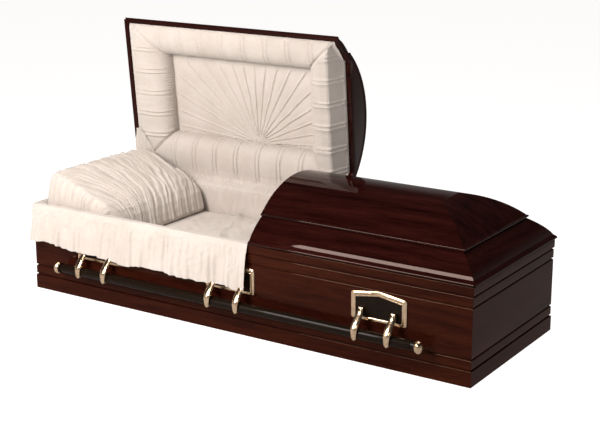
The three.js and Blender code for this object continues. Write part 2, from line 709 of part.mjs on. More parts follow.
// A long hinge: its leaf lies on the back rim and its barrel in the seam, on the hinge line.
function addHinge(name, x0, x1) {
  const leafTop = RIM_HEIGHT + GAP + HINGE_LEAF_THICKNESS;
  const leaf = shapeFrom([
    [HINGE_Y - HINGE_LEAF_WIDTH, RIM_HEIGHT + GAP],
    [HINGE_Y, HINGE_Z - HINGE_BARREL_RADIUS * 0.9],
    [HINGE_Y, leafTop],
    [HINGE_Y - HINGE_LEAF_WIDTH, leafTop],
  ]);
  const barrel = new THREE.CylinderGeometry(HINGE_BARREL_RADIUS, HINGE_BARREL_RADIUS, x1 - x0, 10);
  barrel.rotateZ(Math.PI / 2);
  barrel.translate((x0 + x1) / 2, HINGE_Y, HINGE_Z);
  addMesh(casket, name, toGeometry(joined(prismAlongX(leaf, x0, x1), barrel)), brass);
}

// Handles: modelled for the front, in a frame whose origin is on the panel's face at floor level
// and whose -Y points away from the casket.

function plateOutline(border) {
  const half = PLATE_WIDTH / 2 - border;
  const bottom = PLATE_BOTTOM + border * 0.6;
  const side = PLATE_BOTTOM + PLATE_SIDE_HEIGHT - border;
  const points = [[-half, bottom], [half, bottom], [half, side], [0, side + PLATE_PEAK], [-half, side]];
  return roundedPolygon(points, PLATE_CORNER);
}

function earGeometry(x) {
  const floor = -(PLATE_THICKNESS - PLATE_RECESS) + 0.5;
  const radius = KNUCKLE_RADIUS;
  const ear = new THREE.Shape();
  ear.moveTo(floor, PIVOT_HEIGHT - radius);
  ear.lineTo(-PIVOT_OFFSET, PIVOT_HEIGHT - radius);
  ear.absarc(-PIVOT_OFFSET, PIVOT_HEIGHT, radius, -Math.PI / 2, Math.PI / 2, true);
  ear.lineTo(floor, PIVOT_HEIGHT + radius);
  const holePoints = [];
  for (let i = 0; i < 6; i++) {
    const angle = i * Math.PI / 3;
    const reach = PIN_RADIUS * 1.3;
    holePoints.push(new THREE.Vector2(
      -PIVOT_OFFSET + reach * Math.cos(angle), PIVOT_HEIGHT + reach * Math.sin(angle)));
  }
  ear.holes.push(new THREE.Path(holePoints));
  return prismAlongX(ear, x - EAR_THICKNESS / 2, x + EAR_THICKNESS / 2, 4);
}

function plateGeometry() {
  const back = prismAlongY(plateOutline(0), -PLATE_THICKNESS, 0, 2);
  const floor = -PLATE_THICKNESS + PLATE_RECESS;
  const recess = prismAlongY(plateOutline(PLATE_BORDER), -PLATE_THICKNESS - 1, floor, 2);
  let plate = toSolid(back).subtract(toSolid(recess));
  for (const arm of [-1, 1]) {
    for (const ear of [-1, 1]) {
      const offset = KNUCKLE_WIDTH / 2 + GAP + EAR_THICKNESS / 2;
      plate = plate.add(toSolid(earGeometry(arm * ARM_SPACING / 2 + ear * offset)));
    }
  }
  return toGeometry(plate);
}

// The arm's leaf leaves the knuckle, bows out to the bar's front and runs down past it.
function leafGeometry() {
  const barY = -PIVOT_OFFSET - BAR_REACH;
  const frontY = barY - BAR_RADIUS - EYE_WALL;
  const bow = [...LEAF_BOW, [0.98, 1 + LEAF_TAIL / BAR_DROP]];
  const line = new THREE.CatmullRomCurve3(bow.map(([out, down]) => new THREE.Vector3(
    0, THREE.MathUtils.lerp(-PIVOT_OFFSET, frontY, out), PIVOT_HEIGHT - down * BAR_DROP)));
  const sides = 8;
  const rings = [];
  for (const t of [0, 0.1, 0.24, 0.42, 0.62, 0.82, 1]) {
    const point = line.getPoint(t);
    const along = line.getTangent(t);
    const outward = new THREE.Vector3(0, along.z, -along.y);
    const spread = Math.max(0, (t - 0.1) / 0.9);
    const fullness = spread > 0 ? Math.sin(Math.PI * (0.06 + 0.86 * spread) ** 1.2) ** 0.9 : 0;
    const half = THREE.MathUtils.lerp(KNUCKLE_WIDTH / 2, LEAF_HALF_WIDTH, fullness);
    const ring = [];
    for (let i = 0; i < sides; i++) {
      const angle = (i + 0.5) * 2 * Math.PI / sides;
      const lift = LEAF_HALF_THICKNESS * Math.sin(angle);
      ring.push([half * Math.cos(angle), point.y + outward.y * lift, point.z + outward.z * lift]);
    }
    rings.push(ring);
  }
  return loft(rings);
}

function armSolid() {
  const sides = 12;
  const knuckle = new THREE.CylinderGeometry(KNUCKLE_RADIUS, KNUCKLE_RADIUS, KNUCKLE_WIDTH, 8);
  const pinLength = KNUCKLE_WIDTH + 2 * (GAP + EAR_THICKNESS);
  const pin = new THREE.CylinderGeometry(PIN_RADIUS, PIN_RADIUS, pinLength, 6);
  const eye = new THREE.CylinderGeometry(BAR_RADIUS + EYE_WALL, BAR_RADIUS + EYE_WALL, EYE_WIDTH, sides);
  const bore = (BAR_RADIUS + GAP + 0.1) / Math.cos(Math.PI / sides);
  const hole = new THREE.CylinderGeometry(bore, bore, LEAF_HALF_WIDTH * 3, sides);
  for (const turned of [knuckle, pin, eye, hole]) turned.rotateZ(Math.PI / 2);
  for (const pivoted of [knuckle, pin]) pivoted.translate(0, -PIVOT_OFFSET, PIVOT_HEIGHT);
  for (const threaded of [eye, hole]) {
    threaded.translate(0, -PIVOT_OFFSET - BAR_REACH, PIVOT_HEIGHT - BAR_DROP);
  }
  return joined(leafGeometry(), knuckle, pin, eye).subtract(toSolid(hole));
}

function barGeometry() {
  const profile = [
    [0, 0], [BAR_RADIUS, 0], [BAR_RADIUS, BAR_COLLAR_LENGTH],
    [BAR_NECK_RADIUS, BAR_COLLAR_LENGTH + 1],
    [BAR_NECK_RADIUS, BAR_COLLAR_LENGTH + BAR_NECK_LENGTH],
    [BAR_RADIUS, BAR_COLLAR_LENGTH + BAR_NECK_LENGTH + 1],
  ];
  const mirrored = profile.slice().reverse().map(([radius, along]) => [radius, 2 * BAR_HALF_LENGTH - along]);
  const points = [...profile, ...mirrored].map(([radius, along]) => new THREE.Vector2(radius, along));
  const geometry = new THREE.LatheGeometry(points, 14);
  geometry.rotateZ(-Math.PI / 2);
  geometry.translate(-BAR_HALF_LENGTH, 0, 0);
  return geometry;
}

// The domed end cap, drawn from the face that meets the bar out to its tip.
function capGeometry() {
  const profile = [
    [0, 0], [CAP_RADIUS - 4, 0], [CAP_RADIUS, 5], [CAP_RADIUS, CAP_LENGTH * 0.35],
    [CAP_RADIUS * 0.86, CAP_LENGTH * 0.72], [CAP_RADIUS * 0.5, CAP_LENGTH * 0.94], [0, CAP_LENGTH],
  ];
  const geometry = new THREE.LatheGeometry(profile.map(([r, along]) => new THREE.Vector2(r, along)), 14);
  geometry.rotateZ(-Math.PI / 2);
  return geometry;
}

function addHandles(side) {
  const row = new THREE.Group();
  placeOnSide(row, side);
  const inward = side === 'front' ? PANEL_SETBACK : -PANEL_SETBACK;
  row.position.y += inward - Math.sign(inward) * GAP;
  casket.add(row);
  // The row on the back is turned round, so its own X runs the other way.
  const direction = side === 'front' ? 1 : -1;
  const plate = plateGeometry();
  const arm = toGeometry(armSolid());
  for (let i = 0; i < 3; i++) {
    const x = direction * (HANDLE_CENTRE_X + (i - 1) * HANDLE_PITCH);
    addMesh(row, `handle_plate_${side}_${i + 1}`, plate, brass).position.x = x;
    for (const [letter, offset] of [['a', -1], ['b', 1]]) {
      const name = `handle_arm_${side}_${i + 1}${letter}`;
      addMesh(row, name, arm, brass).position.x = x + direction * offset * ARM_SPACING / 2;
    }
  }
  const centre = direction * HANDLE_CENTRE_X;
  const barY = -PIVOT_OFFSET - BAR_REACH;
  const barZ = PIVOT_HEIGHT - BAR_DROP;
  addMesh(row, `handle_bar_${side}`, barGeometry(), blackBar).position.set(centre, barY, barZ);
  for (const [end, sign] of [['head', -1], ['foot', 1]]) {
    const cap = addMesh(row, `bar_cap_${side}_${end}`, capGeometry(), brass);
    const way = sign * direction;
    cap.position.set(centre + way * (BAR_HALF_LENGTH + GAP), barY, barZ);
    if (way < 0) cap.rotation.z = Math.PI;
  }
}

addBody();
addMattress();
addPillow();
addThrow();
addLids();
addHinge('head_lid_hinge', -HALF_LENGTH + HINGE_END_MARGIN, SPLIT_X - HINGE_END_MARGIN);
addHinge('foot_lid_hinge', SPLIT_X + HINGE_END_MARGIN, HALF_LENGTH - HINGE_END_MARGIN);
addHandles('front');
addHandles('back');

export default casket;
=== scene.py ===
import math

import bpy
from bpy.props import FloatProperty, FloatVectorProperty, IntProperty, PointerProperty
from mathutils import Matrix, Vector, noise


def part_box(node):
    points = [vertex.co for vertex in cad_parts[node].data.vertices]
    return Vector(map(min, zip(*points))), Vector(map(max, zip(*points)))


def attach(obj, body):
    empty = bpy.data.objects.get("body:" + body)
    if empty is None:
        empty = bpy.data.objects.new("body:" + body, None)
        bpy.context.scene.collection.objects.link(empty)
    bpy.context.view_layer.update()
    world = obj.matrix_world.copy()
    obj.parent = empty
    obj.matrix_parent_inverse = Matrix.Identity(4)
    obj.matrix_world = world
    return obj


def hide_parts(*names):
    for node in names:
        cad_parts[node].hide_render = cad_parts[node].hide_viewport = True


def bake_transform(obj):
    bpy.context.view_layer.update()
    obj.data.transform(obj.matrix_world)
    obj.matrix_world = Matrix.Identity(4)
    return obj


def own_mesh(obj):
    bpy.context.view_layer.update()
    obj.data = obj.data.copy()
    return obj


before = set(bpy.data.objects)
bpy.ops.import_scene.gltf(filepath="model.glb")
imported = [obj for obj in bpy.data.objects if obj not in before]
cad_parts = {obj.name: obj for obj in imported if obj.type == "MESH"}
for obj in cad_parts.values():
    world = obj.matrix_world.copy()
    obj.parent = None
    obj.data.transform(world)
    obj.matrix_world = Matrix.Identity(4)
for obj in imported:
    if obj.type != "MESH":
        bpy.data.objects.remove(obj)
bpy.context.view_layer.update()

bl_info = {
    "name": "Funeral casket",
    "version": (1, 0, 0),
    "blender": (4, 5, 0),
    "location": "3D View > Sidebar > Casket",
    "description": "Dresses the half-couch casket in polished wood, crepe and brass",
    "category": "Add Mesh",
}

# Outlines are drawn in millimetres and meshes are in metres.
MM = 0.001

# The body and lids, in millimetres, as the frame has them.
HALF_LENGTH = round(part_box("base_board_foot")[1][0] / MM, 3)
HALF_WIDTH = round(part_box("base_board_back")[1][1] / MM, 3)
GAP = 0.3
WALL = 22
FLOOR = 18
BASE_HEIGHT = 62
BASE_THICKNESS = 30
BAND_TOPS = [103, 300, 342, 381]
PANEL_SETBACK = 2
BAND_ROUNDING = 5.5
GROOVE_HEIGHT = 6
GROOVE_DEPTH = 7
RIM = BAND_TOPS[-1]
LINING_FACE = 40.3
MATTRESS_TOP = 260

LID_BOTTOM = 386.5
LID_LIP = 9
RAIL_TOP = 476
SEAT_TOP = 479.5
CROWN_BOTTOM = 479.8
CROWN_EDGE = 488
CROWN_SETBACK = 81
CROWN_ARC_START = 88
CROWN_RIDGE = 599.8
CROWN_THICKNESS = 18
RAIL_SEAT = 112
HEAD_CUT = 83
FOOT_CUT = 87
HEADER_THICKNESS = 20
OPEN_ANGLE = math.radians(84.5)
HINGE_Y = 362
HINGE_Z = 383.75

# Head-lid lining
ROLL_EDGE = 16
ROLL_WIDTHS = {"front": 141, "back": 181, "head": 179, "split": 147}
SPLIT_EDGE = 61.7
SUNBURST_FACE = 456
SUNBURST_BACK = 472
SUNBURST_X = -402

# Sewn detail: how steeply a pleat falls away, and the small rolled bead along a roll's wooden edge.
PLEAT_STEEPNESS = 1.8
BEAD_OFFSET = 2.6

# Handles
ROW_Y = 360.3
HANDLE_CENTRES = [-684, -6, 672]
PLATE_HALF_WIDTH = 118.5
PLATE_BOTTOM = 177
PLATE_SIDE_TOP = 282
PLATE_PEAK = 16
ARM_OFFSET = 69
PIVOT_OUT = 14
PIVOT_HEIGHT = 222
BAR_OUT = 44
BAR_HEIGHT = 133
BAR_RADIUS = 19.5
BAR_HALF_LENGTH = 861

# Edges of the boards that turn by more than this many degrees stay sharp.
BOARD_ANGLE = 28

# Each side of the body: the middle of its outer face, the way it is turned, and half its length.
SIDES = {
    "front": ((0, -HALF_WIDTH), 0, HALF_LENGTH),
    "back": ((0, HALF_WIDTH), math.pi, HALF_LENGTH),
    "foot": ((HALF_LENGTH, 0), math.pi / 2, HALF_WIDTH),
    "head": ((-HALF_LENGTH, 0), -math.pi / 2, HALF_WIDTH),
}


class CasketFinish(bpy.types.PropertyGroup):
    """Colours of the wood, cloth and metal."""

    wood_dark: FloatVectorProperty(
        name="Dark grain", description="Darkest streaks of the stained wood",
        subtype="COLOR", default=(0.0050, 0.0008, 0.0006))
    wood_red: FloatVectorProperty(
        name="Red grain", description="Lightest streaks of the stained lids",
        subtype="COLOR", default=(0.025, 0.0047, 0.0035))
    # Painted light: the body's boards are drawn lighter and browner than the same mahogany on the lids,
    # for the warm light they catch from the bright floor.
    wood_brown_lit: FloatVectorProperty(
        name="Brown grain", description="Lightest streaks of the body's boards",
        subtype="COLOR", default=(0.036, 0.0078, 0.0033))
    # The crepe is drawn in two tones by its crinkles: the cloth colour on their crests and a darker one
    # in the hollows between them, which is painted shade.
    cloth: FloatVectorProperty(
        name="Cloth", description="Ivory crepe on its high places",
        subtype="COLOR", default=(0.465, 0.412, 0.372))
    cloth_crinkle_shade: FloatVectorProperty(
        name="Cloth folds", description="Ivory crepe between its crinkles",
        subtype="COLOR", default=(0.395, 0.343, 0.302))
    brass: FloatVectorProperty(
        name="Brass", description="Polished handle fittings",
        subtype="COLOR", default=(0.74, 0.54, 0.36))
    bar: FloatVectorProperty(
        name="Bar", description="Lacquered carrying bar and plate insets",
        subtype="COLOR", default=(0.009, 0.005, 0.0028))


class CasketSizes(bpy.types.PropertyGroup):
    """Sizes of the sewn and cast detail."""

    pleat_pitch: FloatProperty(
        name="Pleat spacing", description="From one pair of pleats to the next",
        unit="LENGTH", default=0.117)
    pleat_height: FloatProperty(
        name="Pleat height", description="How far a pleat stands out of its roll",
        unit="LENGTH", default=0.0072)
    rays: IntProperty(
        name="Sunburst pleats", description="Pleats that fan over the lid's panel", default=19)
    ray_height: FloatProperty(
        name="Sunburst pleat height", description="How far a fanned pleat stands out",
        unit="LENGTH", default=0.0065)
    ripple: FloatProperty(
        name="Throw ripple", description="Depth of the throw's soft folds",
        unit="LENGTH", default=0.0125)
    reed_pitch: FloatProperty(
        name="Reed spacing", description="From one reed of the plate's border to the next",
        unit="LENGTH", default=0.0065)


# Outlines

def rounded(corners, steps=6):
    """An outline from (x, y, radius) corners, each one rounded."""
    points = []
    for i, (x, y, radius) in enumerate(corners):
        here = Vector((x, y))
        if radius == 0:
            points.append(here)
            continue
        before = Vector(corners[i - 1][:2]) - here
        after = Vector(corners[(i + 1) % len(corners)][:2]) - here
        start = here + before.normalized() * radius
        end = here + after.normalized() * radius
        for k in range(steps + 1):
            t = k / steps
            points.append((1 - t) ** 2 * start + 2 * t * (1 - t) * here + t * t * end)
    return points


def curve(start, control, end, steps):
    """Points of one curve from start to end, without its first point."""
    start, control, end = Vector(start), Vector(control), Vector(end)
    ts = [k / steps for k in range(1, steps + 1)]
    return [(1 - t) ** 2 * start + 2 * t * (1 - t) * control + t * t * end for t in ts]


def mix(a, b, t):
    """The value that share of the way from a to b."""
    return a + (b - a) * t


def smooth(t):
    """An even step from 0 at 0 to 1 at 1, level at both ends."""
    t = min(1.0, max(0.0, t))
    return t * t * (3 - 2 * t)


def bump(x, width):
    """A soft ridge of height 1 at 0."""
    return math.exp(-(x / width) ** 2)


def pleat(x, height, width):
    """A folded pleat: it rises slowly on one side and falls steeply on the other."""
    return height * math.exp(-x / width if x > 0 else x / PLEAT_STEEPNESS)


def ripple(a, b, c=0.0):
    """Smooth noise, from about -1 to 1."""
    return noise.noise(Vector((a, b, c)))


# Modelling

def clear_selection():
    if bpy.context.object and bpy.context.object.mode != "OBJECT":
        bpy.ops.object.mode_set(mode="OBJECT")
    bpy.ops.object.select_all(action="DESELECT")


def pick(piece):
    """Makes this the only selected piece."""
    clear_selection()
    piece.select_set(True)
    bpy.context.view_layer.objects.active = piece


def name_piece(name):
    """Names what was just added, and returns it."""
    piece = bpy.context.object
    piece.name = name
    piece.data.name = name
    return piece


def ring_piece(name, points, fill="NGON"):
    """A closed line through points in metres, filled with one face unless fill says otherwise."""
    clear_selection()
    bpy.ops.mesh.primitive_circle_add(vertices=len(points), fill_type=fill)
    piece = name_piece(name)
    for vertex, point in zip(piece.data.vertices, points):
        vertex.co = point
    return piece


def grid_piece(name, columns, rows, shape):
    """A grid whose points shape(u, v) places, in millimetres."""
    clear_selection()
    bpy.ops.mesh.primitive_grid_add(x_subdivisions=columns, y_subdivisions=rows, size=2)
    piece = name_piece(name)
    for vertex in piece.data.vertices:
        vertex.co = Vector(shape((vertex.co.x + 1) / 2, (vertex.co.y + 1) / 2)) * MM
    return piece


def edit(piece):
    """Edit mode, with all of the piece's mesh selected."""
    pick(piece)
    bpy.ops.object.mode_set(mode="EDIT")
    bpy.ops.mesh.select_all(action="SELECT")


def done(piece, angle=None):
    """Faces outwards, then back to object mode."""
    bpy.ops.mesh.select_all(action="SELECT")
    bpy.ops.mesh.normals_make_consistent(inside=False)
    bpy.ops.object.mode_set(mode="OBJECT")
    if angle is not None:
        bpy.ops.object.shade_smooth_by_angle(angle=math.radians(angle))
    return piece


def mark_grain(piece, shift):
    """Keeps each point's place along, into and up the board, for the wood grain."""
    attribute = piece.data.attributes.new("grain", "FLOAT_VECTOR", "POINT")
    for vertex, entry in zip(piece.data.vertices, attribute.data):
        entry.vector = vertex.co + Vector((shift, shift * 0.37, shift * 0.21))


def settle(piece, matrix):
    """Puts the piece in place and keeps its place in its mesh."""
    pick(piece)
    piece.matrix_world = matrix
    bpy.ops.object.transform_apply(location=True, rotation=True, scale=True)


def side_matrix(side):
    """From a board's own space, where Y is its depth, to its side of the casket."""
    (x, y), turn, _ = SIDES[side]
    return Matrix.Translation((x * MM, y * MM, 0)) @ Matrix.Rotation(turn, 4, "Z")


def open_matrix():
    """Turns a piece of the closed head lid to the open lid's place."""
    hinge = Vector((0, HINGE_Y * MM, HINGE_Z * MM))
    return Matrix.Translation(hinge) @ Matrix.Rotation(-OPEN_ANGLE, 4, "X") @ Matrix.Translation(-hinge)


def cover(piece, material):
    """One material and its slot for the whole piece."""
    piece.data.materials.clear()
    piece.data.materials.append(material)


def give(piece, material, slot, body, *nodes):
    """Finish, slot, body and the CAD nodes that a piece stands for. The slot is not used."""
    cover(piece, material)
    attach(piece, body)
    if nodes:
        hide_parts(*nodes)


def prism(name, outline, start, end):
    """An outline, drawn as depth and height across a board, pushed along the board."""
    piece = ring_piece(name, [(start * MM, depth * MM, height * MM) for depth, height in outline])
    edit(piece)
    bpy.ops.mesh.extrude_region_move(TRANSFORM_OT_translate={"value": ((end - start) * MM, 0, 0)})
    return done(piece)


def board(name, outline, start, end, mitred, side, shift):
    """A board on one side of the casket, with a mitre at either end where mitred says so."""
    piece = prism(name, outline, start, end)
    joint = GAP * 0.75
    edit(piece)
    for at, direction, cut in ((start, 1, mitred[0]), (end, -1, mitred[1])):
        if cut:
            bpy.ops.mesh.select_all(action="SELECT")
            bpy.ops.mesh.bisect(plane_co=((at + direction * joint) * MM, 0, 0),
                                plane_no=(direction, -1, 0), use_fill=True, clear_inner=True)
    done(piece, BOARD_ANGLE)
    mark_grain(piece, shift)
    settle(piece, side_matrix(side))
    return piece


def cut_with(piece, other, operation):
    """Joins or cuts two solids and deletes the second."""
    pick(piece)
    modifier = piece.modifiers.new("cut", "BOOLEAN")
    modifier.operation = operation
    modifier.solver = "EXACT"
    modifier.object = other
    bpy.ops.object.modifier_apply(modifier=modifier.name)
    bpy.data.objects.remove(other)


def grow(piece, ring):
    """Extrudes the selected face and moves its corners to the ring's points."""
    before = piece["ring"]
    bpy.ops.mesh.extrude_region_move()
    bpy.ops.object.mode_set(mode="OBJECT")
    old = [Vector(before[i:i + 3]) for i in range(0, len(before), 3)]
    for vertex in [v for v in piece.data.vertices if v.select]:
        nearest = min(range(len(old)), key=lambda i: (old[i] - vertex.co).length_squared)
        vertex.co = ring[nearest]
    piece["ring"] = [value for point in ring for value in point]
    bpy.ops.object.mode_set(mode="EDIT")


def lofted(name, rings, angle=40):
    """A closed solid that grows from one ring of points to the next. The points are in metres."""
    piece = ring_piece(name, rings[0])
    piece["ring"] = [value for point in rings[0] for value in point]
    edit(piece)
    for ring in rings[1:]:
        grow(piece, ring)
    done(piece, angle)
    del piece["ring"]
    return piece


def turned(name, profile, centre, sides=40, angle=35):
    """A round piece along X from (along, radius) steps in millimetres."""
    rings = []
    for along, radius in profile:
        angles = [2 * math.pi * i / sides for i in range(sides)]
        rings.append([Vector((centre[0] + along, centre[1] + radius * math.cos(a),
                              centre[2] + radius * math.sin(a))) * MM for a in angles])
    return lofted(name, rings, angle)


def soft_panel(name, columns, rows, shape, flatten):
    """A padded panel: a grid whose points shape(u, v) places, closed behind by its flattened edge."""
    piece = grid_piece(name, columns, rows, shape)
    edit(piece)
    bpy.ops.mesh.select_all(action="DESELECT")
    bpy.ops.mesh.select_non_manifold()
    bpy.ops.mesh.extrude_region_move()
    bpy.ops.object.mode_set(mode="OBJECT")
    for vertex in [v for v in piece.data.vertices if v.select]:
        vertex.co = Vector(flatten(vertex.co / MM)) * MM
    bpy.ops.object.mode_set(mode="EDIT")
    bpy.ops.mesh.edge_face_add()
    return done(piece, 50)


# Materials

def add_node(tree, kind, values=None, **settings):
    """A shader node with its settings, and values for its inputs by name or number."""
    made = tree.nodes.new(kind)
    for name, value in settings.items():
        setattr(made, name, value)
    for name, value in (values or {}).items():
        made.inputs[name].default_value = value
    return made


def link(source, output, target, socket):
    """Joins an output to an input. Sockets go by name or number."""
    source.id_data.links.new(source.outputs[output], target.inputs[socket])


def new_group(name, inputs, outputs):
    """A group with a vector input, further number inputs with their defaults, and number outputs."""
    group = bpy.data.node_groups.new(name, "ShaderNodeTree")
    group.interface.new_socket(name="Vector", in_out="INPUT", socket_type="NodeSocketVector")
    for socket, default in inputs.items():
        made = group.interface.new_socket(name=socket, in_out="INPUT", socket_type="NodeSocketFloat")
        made.default_value = default
    for socket in outputs:
        group.interface.new_socket(name=socket, in_out="OUTPUT", socket_type="NodeSocketFloat")
    return group, group.nodes.new("NodeGroupInput"), group.nodes.new("NodeGroupOutput")


def streak_group():
    """Streaks drawn out along X: a broad figure, and fine pores."""
    group, start, end = new_group("Wood streaks", {"Figure": 26.0, "Pores": 420.0}, ["Figure", "Pores"])
    wave = add_node(group, "ShaderNodeTexNoise", {"Scale": 2.0, "Detail": 2.0, "Roughness": 0.5})
    sway = add_node(group, "ShaderNodeVectorMath", {"Scale": 0.03}, operation="SCALE")
    swayed = add_node(group, "ShaderNodeVectorMath", operation="ADD")
    link(start, "Vector", wave, "Vector")
    link(wave, "Color", sway, 0)
    link(start, "Vector", swayed, 0)
    link(sway, 0, swayed, 1)
    for label, stretch, detail in (("Figure", (0.07, 1, 1), 7.0), ("Pores", (0.03, 1, 1), 2.0)):
        squeeze = add_node(group, "ShaderNodeMapping", {"Scale": stretch})
        texture = add_node(group, "ShaderNodeTexNoise", {"Detail": detail, "Roughness": 0.62})
        link(swayed, 0, squeeze, "Vector")
        link(squeeze, 0, texture, "Vector")
        link(start, label, texture, "Scale")
        link(texture, "Fac", end, label)
    return group


def crinkle_group():
    """Crepe: small uneven crinkles over a fine thread pattern, and a tone that is darker in the
    crinkles' hollows, which is painted shade, mixed with broad random patches.
    """
    group, start, end = new_group("Crepe crinkle", {"Crinkle": 170.0, "Thread": 900.0},
                                  ["Height", "Tone"])
    crinkle = add_node(group, "ShaderNodeTexNoise",
                       {"Detail": 3.0, "Roughness": 0.55, "Distortion": 0.9})
    thread = add_node(group, "ShaderNodeTexVoronoi", feature="F1")
    broad = add_node(group, "ShaderNodeTexNoise", {"Scale": 9.0, "Detail": 3.0})
    blend = add_node(group, "ShaderNodeMath", {1: 0.25}, operation="MULTIPLY")
    total = add_node(group, "ShaderNodeMath", operation="ADD")
    for texture in (crinkle, thread, broad):
        link(start, "Vector", texture, "Vector")
    link(start, "Crinkle", crinkle, "Scale")
    link(start, "Thread", thread, "Scale")
    link(thread, "Distance", blend, 0)
    link(crinkle, "Fac", total, 0)
    link(blend, 0, total, 1)
    link(total, 0, end, "Height")
    # The tone follows the crinkles, so the crepe is darker in their hollows: painted shade, mixed with
    # broad random tone.
    tone = add_node(group, "ShaderNodeMath", {1: 0.5}, operation="MULTIPLY_ADD")
    link(crinkle, "Fac", tone, 0)
    half = add_node(group, "ShaderNodeMath", {1: 0.5}, operation="MULTIPLY")
    link(broad, "Fac", half, 0)
    link(half, 0, tone, 2)
    link(tone, 0, end, "Tone")
    return group


def marks_group():
    """Faint handling marks that vary the gloss."""
    group, start, end = new_group("Handling marks", {"Low": 0.1, "High": 0.2}, ["Roughness"])
    smear = add_node(group, "ShaderNodeTexNoise", {"Scale": 28.0, "Detail": 4.0, "Roughness": 0.6})
    spread = add_node(group, "ShaderNodeMapRange", {"From Min": 0.35, "From Max": 0.7})
    link(start, "Vector", smear, "Vector")
    link(smear, "Fac", spread, "Value")
    link(start, "Low", spread, "To Min")
    link(start, "High", spread, "To Max")
    link(spread, "Result", end, "Roughness")
    return group


def place_group(tree, name, maker, values=None):
    """A node with the shared group of that name, which maker makes the first time."""
    made = add_node(tree, "ShaderNodeGroup", node_tree=bpy.data.node_groups.get(name) or maker())
    for socket, value in (values or {}).items():
        made.inputs[socket].default_value = value
    return made


def new_material(name, shader_values):
    """A material, its node tree and its shader, with values set on the shader's inputs."""
    material = bpy.data.materials.new(name)
    material.use_nodes = True
    tree = material.node_tree
    shader = tree.nodes["Principled BSDF"]
    for socket, value in shader_values.items():
        shader.inputs[socket].default_value = value
    return material, tree, shader


def two_tones(tree, dark, light, low, high):
    """A ramp from one colour at low to another at high."""
    ramp = add_node(tree, "ShaderNodeValToRGB")
    ramp.color_ramp.elements[0].position = low
    ramp.color_ramp.elements[0].color = (*dark, 1)
    ramp.color_ramp.elements[1].position = high
    ramp.color_ramp.elements[1].color = (*light, 1)
    return ramp


def tint(source, output, ramp, shader):
    """Colours the shader by a number from another node."""
    link(source, output, ramp, "Fac")
    link(ramp, "Color", shader, "Base Color")


def add_marks(tree, shader, gloss):
    """Lets the roughness wander between two values. Returns the node with the piece's own place."""
    low, high = gloss
    where = add_node(tree, "ShaderNodeTexCoord")
    marks = place_group(tree, "Handling marks", marks_group, {"Low": low, "High": high})
    link(where, "Object", marks, "Vector")
    link(marks, "Roughness", shader, "Roughness")
    return where


def add_relief(tree, shader, source, output, strength, distance):
    """Raises the surface by a number from another node."""
    relief = add_node(tree, "ShaderNodeBump", {"Strength": strength, "Distance": distance})
    link(source, output, relief, "Height")
    link(relief, "Normal", shader, "Normal")


def wood_material(name, tones, gloss, by_board, ior=1.26, shine=(1.0, 0.74, 0.64, 1)):
    """Stained wood. The grain follows each board, or the row's X on a node that has no board."""
    material, tree, shader = new_material(name, {"IOR": ior, "Specular Tint": shine})
    streaks = place_group(tree, "Wood streaks", streak_group)
    if by_board:
        place = add_node(tree, "ShaderNodeAttribute", attribute_name="grain")
        link(place, "Vector", streaks, "Vector")
    else:
        place = add_node(tree, "ShaderNodeTexCoord")
        link(place, "Object", streaks, "Vector")
    ramp = two_tones(tree, *tones, 0.3, 0.72)
    link(streaks, "Figure", ramp, "Fac")
    pores = two_tones(tree, (0.45, 0.4, 0.4), (1, 1, 1), 0.36, 0.5)
    link(streaks, "Pores", pores, "Fac")
    darken = add_node(tree, "ShaderNodeMix", {"Factor": 0.7}, data_type="RGBA", blend_type="MULTIPLY")
    link(ramp, "Color", darken, "A")
    link(pores, "Color", darken, "B")
    link(darken, "Result", shader, "Base Color")
    add_marks(tree, shader, gloss)
    add_relief(tree, shader, streaks, "Pores", 0.03, 0.0001)
    return material


def cloth_material(name, finish, crinkle, depth):
    """Ivory crepe with so many crinkles to the metre, so deep, drawn darker in their hollows as painted
    shade.
    """
    material, tree, shader = new_material(name, {
        "Roughness": 0.88, "Specular IOR Level": 0.25, "Sheen Weight": 0.25, "Sheen Roughness": 0.4})
    where = add_node(tree, "ShaderNodeTexCoord")
    crepe = place_group(tree, "Crepe crinkle", crinkle_group, {"Crinkle": crinkle})
    link(where, "Object", crepe, "Vector")
    tint(crepe, "Tone", two_tones(tree, finish.cloth_crinkle_shade, finish.cloth, 0.3, 0.62), shader)
    add_relief(tree, shader, crepe, "Height", 0.5, depth)
    return material


def speckled_material(name, shader_values, colour, gloss, specks, darker, low, high):
    """Metal or lacquer whose colour is a little darker in fine specks."""
    material, tree, shader = new_material(name, shader_values)
    where = add_marks(tree, shader, gloss)
    texture = add_node(tree, "ShaderNodeTexNoise", specks)
    link(where, "Object", texture, "Vector")
    tint(texture, "Fac", two_tones(tree, [c * darker for c in colour], colour, low, high), shader)
    return material


def brass_material(name, colour, gloss):
    """Brass, bright or satin as its gloss says."""
    return speckled_material(name, {"Metallic": 1.0}, colour, gloss,
                             {"Scale": 60.0, "Detail": 5.0}, 0.86, 0.32, 0.55)


def lacquer_material(finish):
    """Black lacquer under a warm clear coat."""
    clear_coat = {"Specular IOR Level": 0.03, "Coat Weight": 0.2, "Coat Roughness": 0.08,
                  "Coat IOR": 1.34, "Coat Tint": (1.0, 0.82, 0.66, 1)}
    return speckled_material("black lacquer", clear_coat, finish.bar, (0.3, 0.38),
                             {"Scale": 90.0, "Detail": 3.0}, 0.6, 0.35, 0.65)


MATERIALS = {}
# The roughness of polished wood, least and most.
POLISHED = (0.02, 0.05)


